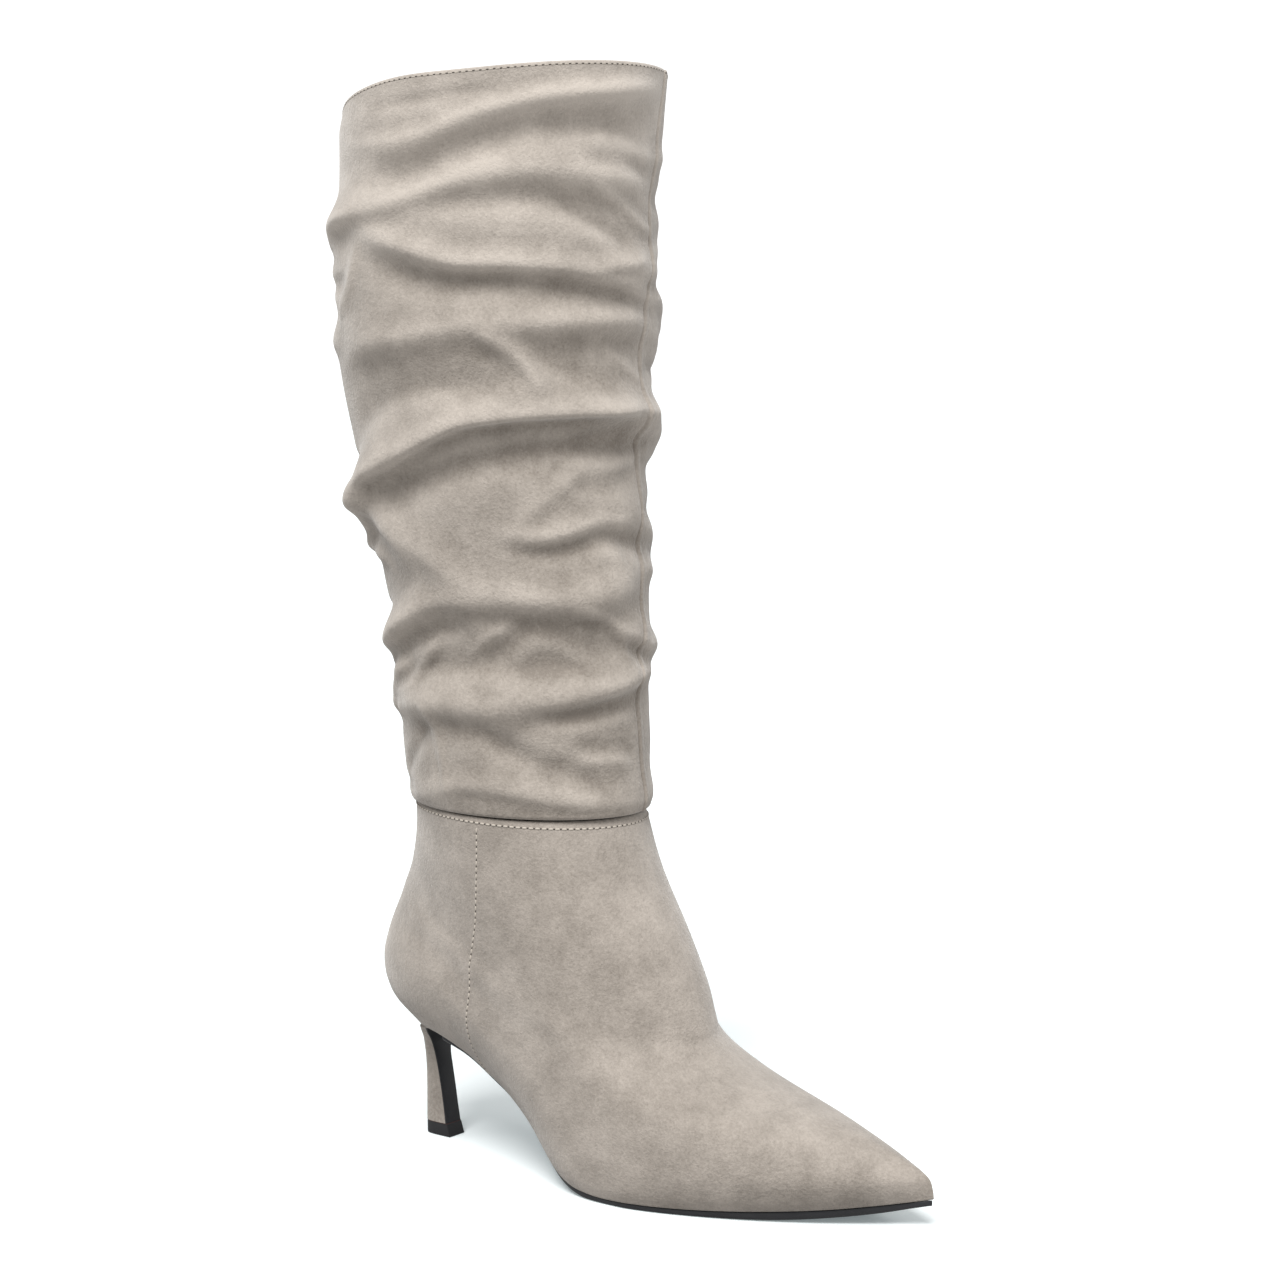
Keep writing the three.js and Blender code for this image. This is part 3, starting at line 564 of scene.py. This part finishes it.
def shaft(angle, share, pull):
    """Points of the shaft: an oval round its centre line at each height, moved out by the
    folds and creases, which sag as they stand out. Also how far they stand out, in all."""
    depth = along(SHAFT[:, 0], SHAFT[:, 2], share)
    width = depth * along(SHAFT[:, 0], SHAFT[:, 3], share)
    c, s = np.cos(angle), np.sin(angle)
    degrees = np.degrees(angle)
    turn = np.mod(degrees, 360)
    corner = bell(turn - RIM_DIP_AT, RIM_DIP_SPAN)
    top = (COLLAR_FRONT_Z + COLLAR_BACK_Z) / 2
    top = top + (COLLAR_FRONT_Z - COLLAR_BACK_Z) / 2 * c + COLLAR_SIDE_TILT * s
    top = top + RIM_LIFT * bell(turn - RIM_LIFT_AT, RIM_LIFT_SPAN) - RIM_DIP * corner
    bottom = ANKLE_Z + CLEAR
    z = bottom + (top - bottom) * share
    fade = smooth((top - z) / COLLAR_FADE) * smooth((z - bottom) / HEM_FADE)
    take = CREASE_SHARE * np.exp(-(round_from(degrees, OUTER_SIDE) / OUTER_SPAN) ** 4)
    folds = fade * fold_shift(degrees, z) * (1 - take)
    creases = fade * crease_shift(degrees, z)
    draw = RIM_DRAW * corner * smooth(1 - (top - z) / RIM_DRAW_DEPTH)
    out = folds + creases - seam_shift(degrees, z, depth) - pull - draw
    drop = FOLD_SAG * positive(folds) + CREASE_SAG * positive(creases)
    x = along(SHAFT[:, 0], SHAFT[:, 1], share) + (depth + out) * c
    return np.stack([x, (width + out) * s, z - drop], -1), folds + creases


def shaft_points(angle, share, pull=0.0):
    """The shaft's points alone."""
    return shaft(angle, share, pull)[0]


def rolled(distance, radius):
    """How far a quarter-round edge draws in at a distance from the rim."""
    t = np.clip(1 - distance / radius, 0, 1)
    return radius * (1 - np.sqrt(1 - t ** 2))


def make(name, points, faces, material, sharp=None):
    """A mesh piece from points in millimetres and its faces, riding on the boot."""
    mesh = bpy.data.meshes.new(name)
    mesh.from_pydata((np.asarray(points) * MM).tolist(), [], faces)
    mesh.polygons.foreach_set("use_smooth", np.ones(len(mesh.polygons), bool))
    if sharp is not None:
        mesh.set_sharp_from_angle(angle=np.radians(sharp))
    mesh.materials.append(material)
    mesh.update()
    piece = bpy.data.objects.new(name, mesh)
    bpy.context.scene.collection.objects.link(piece)
    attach(piece, "root")
    return piece


def grid_faces(rows, columns, closed):
    """Quads of a grid whose rows close on themselves; closed joins the last row to the first."""
    j, i = np.meshgrid(np.arange(rows if closed else rows - 1), np.arange(columns), indexing="ij")
    k, n = (i + 1) % columns, (j + 1) % rows
    quads = np.stack([j * columns + i, j * columns + k, n * columns + k, n * columns + i], -1)
    return quads.reshape(-1, 4).tolist()


def tube(name, grid, material):
    """A closed skin from rows of points; the last row joins the first."""
    rows, columns = grid.shape[:2]
    faces = grid_faces(rows, columns, True)
    return make(name, grid.reshape(-1, 3), faces, material)


def plug(name, grid, material, sharp):
    """A closed solid from rows of points, with a flat face over its first and last row."""
    rows, columns = grid.shape[:2]
    faces = grid_faces(rows, columns, False)
    faces.append(list(range(columns))[::-1])
    faces.append([(rows - 1) * columns + i for i in range(columns)])
    return make(name, grid.reshape(-1, 3), faces, material, sharp)


def add_field(piece, name, values):
    """Keeps one number a vertex for the material to read."""
    field = piece.data.attributes.new(name, "FLOAT", "POINT")
    field.data.foreach_set("value", np.asarray(values, np.float32).ravel())


class Nodes:
    """A short way to write a material's nodes."""

    def __init__(self, name):
        self.material = bpy.data.materials.new(name)
        self.material.use_nodes = True
        self.tree = self.material.node_tree
        self.shader = self.tree.nodes["Principled BSDF"]
        self.place = self.tree.nodes.new("ShaderNodeTexCoord").outputs["Object"]

    def link(self, source, target):
        self.tree.links.new(source, target)

    def noise(self, scale, detail, rough):
        node = self.tree.nodes.new("ShaderNodeTexNoise")
        node.inputs["Scale"].default_value = scale
        node.inputs["Detail"].default_value = detail
        node.inputs["Roughness"].default_value = rough
        self.link(self.place, node.inputs["Vector"])
        return node.outputs["Fac"]

    def remap(self, value, low, high, to_low=0.0, to_high=1.0):
        node = self.tree.nodes.new("ShaderNodeMapRange")
        for socket, number in (("From Min", low), ("From Max", high),
                               ("To Min", to_low), ("To Max", to_high)):
            node.inputs[socket].default_value = number
        self.link(value, node.inputs["Value"])
        return node.outputs["Result"]

    def math(self, kind, a, b):
        node = self.tree.nodes.new("ShaderNodeMath")
        node.operation = kind
        for socket, value in zip(node.inputs, (a, b)):
            if isinstance(value, (int, float)):
                socket.default_value = value
            else:
                self.link(value, socket)
        return node.outputs[0]

    def mix(self, share, a, b):
        node = self.tree.nodes.new("ShaderNodeMix")
        node.data_type = "RGBA"
        self.link(share, node.inputs["Factor"])
        node.inputs[6].default_value = (*a, 1)
        node.inputs[7].default_value = (*b, 1)
        return node.outputs[2]

    def attribute(self, name):
        node = self.tree.nodes.new("ShaderNodeAttribute")
        node.attribute_name = name
        return node.outputs["Fac"]

    def bump(self, height, strength, distance, below=None):
        node = self.tree.nodes.new("ShaderNodeBump")
        node.inputs["Strength"].default_value = strength
        node.inputs["Distance"].default_value = distance
        self.link(height, node.inputs["Height"])
        if below is not None:
            self.link(below, node.inputs["Normal"])
        return node.outputs["Normal"]

    def finish(self, **sockets):
        for name, value in sockets.items():
            socket = self.shader.inputs[name.replace("_", " ").title().replace("Ior", "IOR")]
            if isinstance(value, tuple):
                socket.default_value = (*value, 1)
            elif isinstance(value, (int, float)):
                socket.default_value = value
            else:
                self.link(value, socket)
        return self.material


def suede_material(name, tones, rub_and_painted_shading):
    """Nap brushed two ways: wide and middling clouds of tone, a fine grain and a soft sheen.
    Where a field is given, it lightens the ridges and darkens the hollows, partly as rubbed
    nap and partly as painted light and shade."""
    n = Nodes(name)
    clouds = n.remap(n.noise(*CLOUDS), *CLOUD_RANGE)
    patches = n.remap(n.noise(*PATCHES), *PATCH_RANGE)
    grain = n.noise(*GRAIN)
    pile = n.noise(*PILE)
    fields = [clouds, patches, grain, pile]
    if rub_and_painted_shading:
        fields.append(n.attribute("rub_and_painted_shading"))
    tone = 0.0
    for field, weight in zip(fields, TONE_WEIGHTS):
        tone = n.math("ADD", tone, n.math("MULTIPLY", field, weight))
    fibres = n.bump(grain, 0.7, 0.0004)
    return n.finish(
        base_color=n.mix(n.remap(tone, *TONE_RANGE), *tones), specular_ior_level=0.2,
        roughness=n.remap(patches, 0, 1, 0.86, 0.98), normal=n.bump(pile, 0.5, 0.0008, fibres),
        sheen_weight=0.55, sheen_roughness=0.45, sheen_tint=SHEEN_TINT,
    )


def lining_material():
    """Smooth knitted lining: a fine weave over faint clouds of tone."""
    n = Nodes("knitted lining")
    clouds = n.noise(60, 3, 0.5)
    weave = n.noise(1900, 1, 0.5)
    colour = n.mix(clouds, *LINING_TONES)
    return n.finish(base_color=colour, roughness=n.remap(weave, 0, 1, 0.7, 0.9),
                    normal=n.bump(weave, 0.35, 0.0003), sheen_weight=0.2)


def rubber_material(name, tones, gloss):
    """Moulded rubber: nearly black, faintly clouded, finely pitted."""
    n = Nodes(name)
    clouds = n.noise(70, 3, 0.5)
    pits = n.noise(1100, 2, 0.6)
    return n.finish(base_color=n.mix(clouds, *tones), normal=n.bump(pits, 0.15, 0.0002),
                    roughness=n.remap(clouds, 0.3, 0.7, gloss, gloss + 0.14))


def thread_material():
    """Twisted thread a little lighter than the suede."""
    n = Nodes("sewing thread")
    twist = n.noise(2600, 2, 0.5)
    return n.finish(base_color=n.mix(twist, *THREAD_TONES), roughness=0.8, sheen_weight=0.3,
                    normal=n.bump(twist, 0.3, 0.0002))


def band_material():
    """The brown edge between the heel's tip and its cover."""
    n = Nodes("tip band")
    return n.finish(base_color=n.mix(n.noise(500, 2, 0.5), *BAND_TONES), roughness=0.6)


def pinhole_material():
    """The shaded hole that each stitch goes through."""
    n = Nodes("pinhole shade")
    colour = n.mix(n.noise(900, 2, 0.5), *PINHOLE_TONES)
    return n.finish(base_color=colour, roughness=0.95)


shaft_suede = suede_material("shaft suede", SHAFT_TONES, True)
# The foot's suede is the shaft's, painted darker as painted shade
shaded_foot_suede = suede_material("foot suede in painted shade", SHADED_FOOT_TONES, False)
lining = lining_material()
sole_rubber = rubber_material("sole rubber", SOLE_TONES, 0.32)
tip_rubber = rubber_material("tip rubber", TIP_TONES, 0.42)
tip_brown = band_material()
stitch_materials = (thread_material(), pinhole_material())


def build_upper():
    """Outside rows from the rolled lower edge to the rolled top, then inside rows down."""
    angles = np.linspace(0, 2 * np.pi, 320, endpoint=False)
    share = np.concatenate([
        [0, 0.0003, 0.002, 0.006, 0.011, 0.017], np.linspace(0.024, 0.975, 110),
        [0.983, 0.989, 0.994, 0.998, 1.0],
    ])
    pull = rolled(share * FOOT_RISE, FOOT_EDGE_ROLL)
    pull = pull + rolled((1 - share) * FOOT_RISE, FOOT_TOP_ROLL)
    inner = np.linspace(1, 0, 26)
    rows = np.concatenate([share, inner])[:, None]
    pulls = np.concatenate([pull, np.full(len(inner), WALL)])[:, None]
    grid = foot(angles[None, :], rows, pulls)
    piece = tube("upper_skin", grid, shaded_foot_suede)
    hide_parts("upper")


def build_shaft():
    """Outside rows from the turned-in hem to the rounded collar, then inside rows. The
    columns lie closer at the front seam. A field lightens the ridges, partly as rubbed nap
    and partly as painted light, darkens the hollows with painted shade, and adds painted
    light towards the collar."""
    angles = np.radians(np.concatenate([
        np.linspace(-2, 32, 80, endpoint=False), np.linspace(32, 358, 210, endpoint=False),
    ]))
    share = np.concatenate([
        [0, 0.0003, 0.0012, 0.0026, 0.0042], np.linspace(0.0062, 0.9945, 236),
        [0.9965, 0.9985, 0.9996, 1.0],
    ])
    height = COLLAR_FRONT_Z - ANKLE_Z
    pull = rolled(share * height, HEM_ROLL) + rolled((1 - share) * height, COLLAR_ROLL)
    inner = np.linspace(1, 0, 95)
    rows = np.concatenate([share, inner])[:, None]
    pulls = np.concatenate([pull, np.full(len(inner), SHAFT_SKIN)])[:, None]
    grid, stand = shaft(angles[None, :], rows, pulls)
    piece = tube("shaft_skin", grid, shaft_suede)
    # Ridges lighter and hollows darker: partly rubbed nap, partly painted light and painted shade
    crest = stand - (np.roll(stand, CREST_ROWS, 0) + np.roll(stand, -CREST_ROWS, 0)) / 2
    rub_and_painted_shading = STAND_SHARE * np.tanh(stand / STAND_SOFT) + np.tanh(crest / CREST_SOFT)
    # Painted light up the shaft is added to the field: darker near the ankle seam, lighter towards
    # the collar
    add_field(piece, "rub_and_painted_shading", rub_and_painted_shading + along(PAINTED_LIGHT_UP_SHAFT[:, 0], PAINTED_LIGHT_UP_SHAFT[:, 1], rows))
    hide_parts("shaft")


def build_lining():
    """A thin shell inside the shaft, from below the collar to the ankle seam."""
    angles = np.linspace(0, 2 * np.pi, 200, endpoint=False)
    share = np.linspace(0, LINING_TOP_SHARE, 120)
    rows = np.concatenate([share, share[::-1]])[:, None]
    pulls = np.repeat(LINING_PULLS, len(share))[:, None]
    tube("shaft_lining", shaft_points(angles[None, :], rows, pulls), lining)


def eased(start, end, count):
    """Places from start to end that lie closer together at both ends."""
    return (start + end) / 2 - (end - start) / 2 * np.cos(np.linspace(0, np.pi, count))


def build_outsole():
    """A slab that follows the feather line; its lower edge is a quarter round and its top
    edge a small one."""
    ring = foot_ring(0.0, 0.0)
    x = eased(SOLE_BACK_X, float(ring["front_x"]) - SOLE_TIP_SHORT, 150)
    inset = along(TREAD[:, 0], TREAD[:, 2], x)
    slim = np.clip((ring["front_x"] - x) / SOLE_TIP_TAPER, 0, 1)
    inner = edge_y(ring, x, 1.0) - inset * slim
    outer = edge_y(ring, x, -1.0) + inset * slim
    top = feather(x) - CLEAR
    bottom = along(TREAD[:, 0], TREAD[:, 1], x)
    flat = (x >= TREAD_FLAT_X[0]) & (x <= TREAD_FLAT_X[1])
    bottom = np.where(flat, 0, np.maximum(bottom, 0))
    middle, half, thick = (inner + outer) / 2, (inner - outer) / 2, top - bottom
    big = np.minimum(thick * SOLE_LOW_ROUND, half / 2)
    small = np.minimum(thick * SOLE_HIGH_ROUND, half / 4)
    arc = np.linspace(0, np.pi / 2, 6)
    rows = []
    for sign in (-1, 1):
        low = [(half - big * (1 - np.sin(a)), bottom + big * (1 - np.cos(a))) for a in arc]
        high = [(half - small * (1 - np.cos(a)), top - small * (1 - np.sin(a))) for a in arc]
        edge = [(middle + sign * across, z) for across, z in low + high]
        rows += edge[::-1] if sign < 0 else edge
    grid = np.stack([np.stack([x, y, z], -1) for y, z in rows], 1)
    piece = plug("outsole_slab", grid[:, ::-1], sole_rubber, 40)
    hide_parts("outsole")


def build_insole():
    """The sock on the insole: a slab inside the wall, soft at its upper edge."""
    ring = foot_ring(0.0, WALL + CLEAR)
    back = float(ring["back_x"]) + SOCK_BACK_SHORT
    x = eased(back, float(ring["front_x"]) - SOCK_TIP_SHORT, 110)
    inner, outer = edge_y(ring, x, 1.0), edge_y(ring, x, -1.0)
    bottom = feather(x)
    middle, half = (inner + outer) / 2, (inner - outer) / 2
    soft = np.minimum(SOCK_SOFT, half / 3)
    rows = [(middle + s * (half - k * soft), bottom + up) for s, k, up in SOCK_OUTLINE]
    grid = np.stack([np.stack([x, y, z], -1) for y, z in rows], 1)
    piece = plug("sock_lining", grid, lining, 50)
    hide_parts("insole")


def heel_ring(back, front, half, power):
    """A level section: a superellipse behind a flat front."""
    turn = np.linspace(np.pi / 2, 3 * np.pi / 2, 40)
    c, s = np.abs(np.cos(turn)), np.sin(turn)
    x = front - (front - back) * c ** (2 / power)
    y = half * np.sign(s) * np.abs(s) ** (2 / power)
    flat = np.linspace(-0.8, 0.8, 9) * half
    return np.concatenate([x, np.full(9, front)]), np.concatenate([y, flat])


def build_heel():
    """The covered heel: level sections, then three that turn into the one on the seat."""
    rows = []
    for z in HEEL_LEVELS:
        x, y = heel_ring(*(along(HEEL[:, 0], HEEL[:, k], z) for k in (1, 2, 3, 4)))
        rows.append(np.stack([x, y, np.full_like(x, z)], -1))
    x, y = heel_ring(*HEEL_SEAT)
    seat = np.stack([x, y, feather(x) - CLEAR], -1)
    rows += [rows[-1] + (seat - rows[-1]) * t for t in (0.35, 0.7, 1.0)]
    piece = plug("heel_cover", np.array(rows), shaded_foot_suede, 50)
    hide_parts("heel")


def build_breast():
    """The black front of the heel: a thin plate with a small bevel on its front edges. Its
    last row lies under the seat's front edge."""
    seat_front, seat_half = HEEL_SEAT[1:3]
    z = np.append(HEEL_LEVELS, feather(seat_front) - CLEAR)
    near = np.append(along(HEEL[:, 0], HEEL[:, 2], HEEL_LEVELS), seat_front) + BREAST_GAP
    half = along(HEEL[:, 0], HEEL[:, 3], HEEL_LEVELS)
    half = np.append(half, seat_half - BREAST_TOP_NARROWER)
    far = near + BREAST_THICK
    bevel = [(far - back, half - narrow) for back, narrow in BREAST_BEVEL]
    outline = [(near, half), (near, -half)] + [(x, -y) for x, y in bevel] + bevel[::-1]
    grid = np.stack([np.stack([x, y, z], -1) for x, y in outline], 1)
    piece = plug("breast_plate", grid, sole_rubber, 50)
    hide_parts("breast_cover")


def tip_ring(inset, z):
    """A level section of the heel's tip, drawn in all round by the inset."""
    front = TIP_FRONT_X - TIP_FRONT_LEAN * z / TIP_HEIGHT
    x, y = heel_ring(TIP_BACK_X + inset, front - inset, TIP_HALF - inset, TIP_POWER)
    return np.stack([x, y, np.full_like(x, z)], -1)


def build_tip():
    """The top piece, a block with bevelled edges that spreads to the floor at the front,
    and the thin band above it."""
    block = np.array([tip_ring(inset, z) for inset, z in TIP_ROWS])
    piece = plug("tip_block", block, tip_rubber, 50)
    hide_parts("top_piece")
    band = np.array([tip_ring(inset, z) for inset, z in BAND_ROWS])
    plug("tip_band", band, tip_brown, 50)


def sampled(values, run, where):
    """The path's values at distances along it."""
    return np.stack([np.interp(where, run, values[:, k]) for k in range(3)], -1)


def path_frames(path, up, run, where):
    """At each distance three unit ways: along the path, across it and out of the surface."""
    ahead = sampled(path, run, np.minimum(where + FRAME_STEP, run[-1]))
    onward = ahead - sampled(path, run, np.maximum(where - FRAME_STEP, 0))
    onward /= np.linalg.norm(onward, axis=1, keepdims=True)
    out = sampled(up, run, where)
    out -= onward * np.sum(out * onward, axis=1, keepdims=True)
    out /= np.linalg.norm(out, axis=1, keepdims=True)
    return np.stack([onward, np.cross(out, onward), out], 1)


def capsules(centres, frames, length, width, height, lift):
    """Points and faces of a row of six-sided capsules, one at each centre."""
    turn = np.linspace(0, 2 * np.pi, 6, endpoint=False)
    place, size = CAPSULE.T
    body = np.stack([
        np.repeat(place, 6) * length / 2,
        (size[:, None] * np.cos(turn)).ravel() * width,
        (size[:, None] * np.sin(turn)).ravel() * height + lift,
    ], -1)
    placed = np.einsum("pa,nak->npk", body, frames) + centres[:, None]
    faces = grid_faces(6, 6, False)
    faces += [list(range(6))[::-1], list(range(30, 36))]
    every = [[v + 36 * s for v in face] for s in range(len(centres)) for face in faces]
    return placed.reshape(-1, 3), every


def place_stitches(name, path, up, radius=STITCH_RADIUS, sink=0.0):
    """Stitches along a path: each a small capsule lying along it, with a flat dark bead
    between two, painted shade for the hole the thread goes through. The path is cut at equal
    distances; up is the way out of the surface."""
    steps = np.linalg.norm(np.diff(path, axis=0), axis=1)
    run = np.concatenate([[0], np.cumsum(steps)])
    count = int(run[-1] / STITCH_PITCH)
    at = (np.arange(count) + 0.5) * run[-1] / count
    between = at + run[-1] / count / 2
    points, faces = capsules(sampled(path, run, at), path_frames(path, up, run, at),
                             STITCH_LENGTH, radius, radius * STITCH_FLAT, -sink)
    hole = STITCH_PITCH - STITCH_LENGTH + PINHOLE_OVERLAP
    holes, more = capsules(sampled(path, run, between), path_frames(path, up, run, between),
                           hole, radius * PINHOLE_WIDTH, PINHOLE_FLAT, 0.0)
    faces = faces + [[v + len(points) for v in face] for face in more]
    points = np.concatenate([points, holes])
    piece = make(name, points, faces, stitch_materials[0])
    piece.data.materials.append(stitch_materials[1])
    index = np.zeros(len(faces), np.int32)
    index[len(faces) - len(more):] = 1
    piece.data.polygons.foreach_set("material_index", index)


def surface_path(surface, angle, share):
    """Points along a line on a surface and the way out of it, from its two tangents."""
    step = 0.002
    here = surface(angle, share)
    across = surface(angle + step, share) - surface(angle - step, share)
    upward = surface(angle, np.minimum(1, share + step)) - surface(angle, share - step)
    out = np.cross(across, upward)
    return here, out / np.linalg.norm(out, axis=-1, keepdims=True)


def build_stitches():
    """Stitches under the ankle seam, at the collar and down both quarter seams."""
    whole = np.linspace(0, 2 * np.pi, 900)
    path, out = surface_path(foot, whole, np.full(900, ANKLE_STITCH_SHARE))
    place_stitches("ankle_stitches", path, out)
    path, out = surface_path(shaft_points, whole, np.full(900, COLLAR_STITCH_SHARE))
    place_stitches("collar_stitches", path, out, COLLAR_STITCH_RADIUS, COLLAR_STITCH_SINK)
    share = np.linspace(*QUARTER_STITCH_SHARES, 300)
    ring = foot_ring(share, 0.0)
    x = along(QUARTER_SEAM[:, 0], QUARTER_SEAM[:, 1], share)
    c = (x - ring["wide_x"]) / (ring["wide_x"] - ring["back_x"])
    angle = np.arccos(np.clip(c, -1, 1))
    for name, side in (("outer_quarter_stitches", -1), ("inner_quarter_stitches", 1)):
        path, out = surface_path(foot, side * angle, share)
        place_stitches(name, path, out)


build_upper()
build_shaft()
build_lining()
build_outsole()
build_insole()
build_heel()
build_breast()
build_tip()
build_stitches()


def seen_by_camera(tree, hidden, shown):
    """One shader for the light that bounces about and another for what is seen."""
    path = tree.nodes.new("ShaderNodeLightPath")
    choose = tree.nodes.new("ShaderNodeMixShader")
    tree.links.new(path.outputs["Is Camera Ray"], choose.inputs["Fac"])
    tree.links.new(hidden, choose.inputs[1])
    tree.links.new(shown, choose.inputs[2])
    return choose.outputs[0]


def build_floor():
    """A round pale floor, wide enough that its rim lies far behind the boot. It throws
    back less light than it shows, so that the boot's undersides stay shaded."""
    turn = np.linspace(0, 2 * np.pi, 96, endpoint=False)
    mesh = bpy.data.meshes.new("studio_floor")
    rim = [FLOOR_RADIUS * np.cos(turn), FLOOR_RADIUS * np.sin(turn), np.full(96, FLOOR_Z)]
    mesh.from_pydata(np.stack(rim, -1).tolist(), [], [list(range(96))])
    n = Nodes("studio floor")
    colour = n.mix(n.noise(3, 2, 0.5), *FLOOR_TONES)
    mesh.materials.append(n.finish(base_color=colour, roughness=0.7, specular_ior_level=0.1,
                                   emission_color=FLOOR_GLOW, emission_strength=0.22))
    dim = n.tree.nodes.new("ShaderNodeBsdfDiffuse")
    dim.inputs["Color"].default_value = FLOOR_BOUNCE
    shown = seen_by_camera(n.tree, dim.outputs[0], n.shader.outputs[0])
    n.link(shown, n.tree.nodes["Material Output"].inputs["Surface"])
    floor = bpy.data.objects.new("studio_floor", mesh)
    bpy.context.scene.collection.objects.link(floor)


def add_light(lamp, way, place=(0, 0, 0)):
    """Puts a light at a place, turned so that it shines opposite to the way."""
    piece = bpy.data.objects.new(lamp.name, lamp)
    turn = Vector(way).to_track_quat("Z", "Y").to_matrix().to_4x4()
    piece.matrix_world = Matrix.Translation(place) @ turn
    bpy.context.scene.collection.objects.link(piece)


def build_lights():
    """A high soft sun and the softboxes, which are turned to the boot."""
    sun = bpy.data.lights.new("high soft sun", "SUN")
    sun.energy = SUN_STRENGTH
    sun.angle = np.radians(SUN_SPREAD)
    add_light(sun, SUN_WAY)
    for name, place, size, power in SOFTBOXES:
        lamp = bpy.data.lights.new(name, "AREA")
        lamp.size = size
        lamp.energy = power
        add_light(lamp, Vector(place) - Vector(LIGHT_AIM), place)


def build_sky():
    """A white sky that lights softly and shows pure white."""
    world = bpy.data.worlds.new("white studio")
    world.use_nodes = True
    tree = world.node_tree
    fill = tree.nodes["Background"]
    fill.inputs["Color"].default_value = SKY_FILL
    fill.inputs["Strength"].default_value = 0.42
    seen = tree.nodes.new("ShaderNodeBackground")
    seen.inputs["Color"].default_value = SKY_SEEN
    seen.inputs["Strength"].default_value = 1.2
    shown = seen_by_camera(tree, fill.outputs[0], seen.outputs[0])
    tree.links.new(shown, tree.nodes["World Output"].inputs["Surface"])
    bpy.context.scene.world = world
    bpy.context.scene.view_settings.view_transform = "Standard"


def build_camera():
    """The photograph's camera."""
    sideways = np.cos(CAMERA_TILT)
    forward = Vector((-np.sin(CAMERA_TURN) * sideways, np.cos(CAMERA_TURN) * sideways,
                      -np.sin(CAMERA_TILT)))
    right = Vector((np.cos(CAMERA_TURN), np.sin(CAMERA_TURN), 0))
    up = right.cross(forward)
    turn = Matrix((right, up, -forward)).transposed().to_4x4()
    lens = bpy.data.cameras.new("photo camera")
    lens.sensor_width = SENSOR_WIDTH
    lens.lens = SENSOR_WIDTH * FOCAL_PIXELS / PHOTO_PIXELS
    lens.clip_start = 0.05
    lens.clip_end = 60
    camera = bpy.data.objects.new("photo camera", lens)
    camera.matrix_world = Matrix.Translation(CAMERA_PLACE) @ turn
    bpy.context.scene.collection.objects.link(camera)
    bpy.context.scene.camera = camera


build_floor()
build_sky()
build_lights()
build_camera()
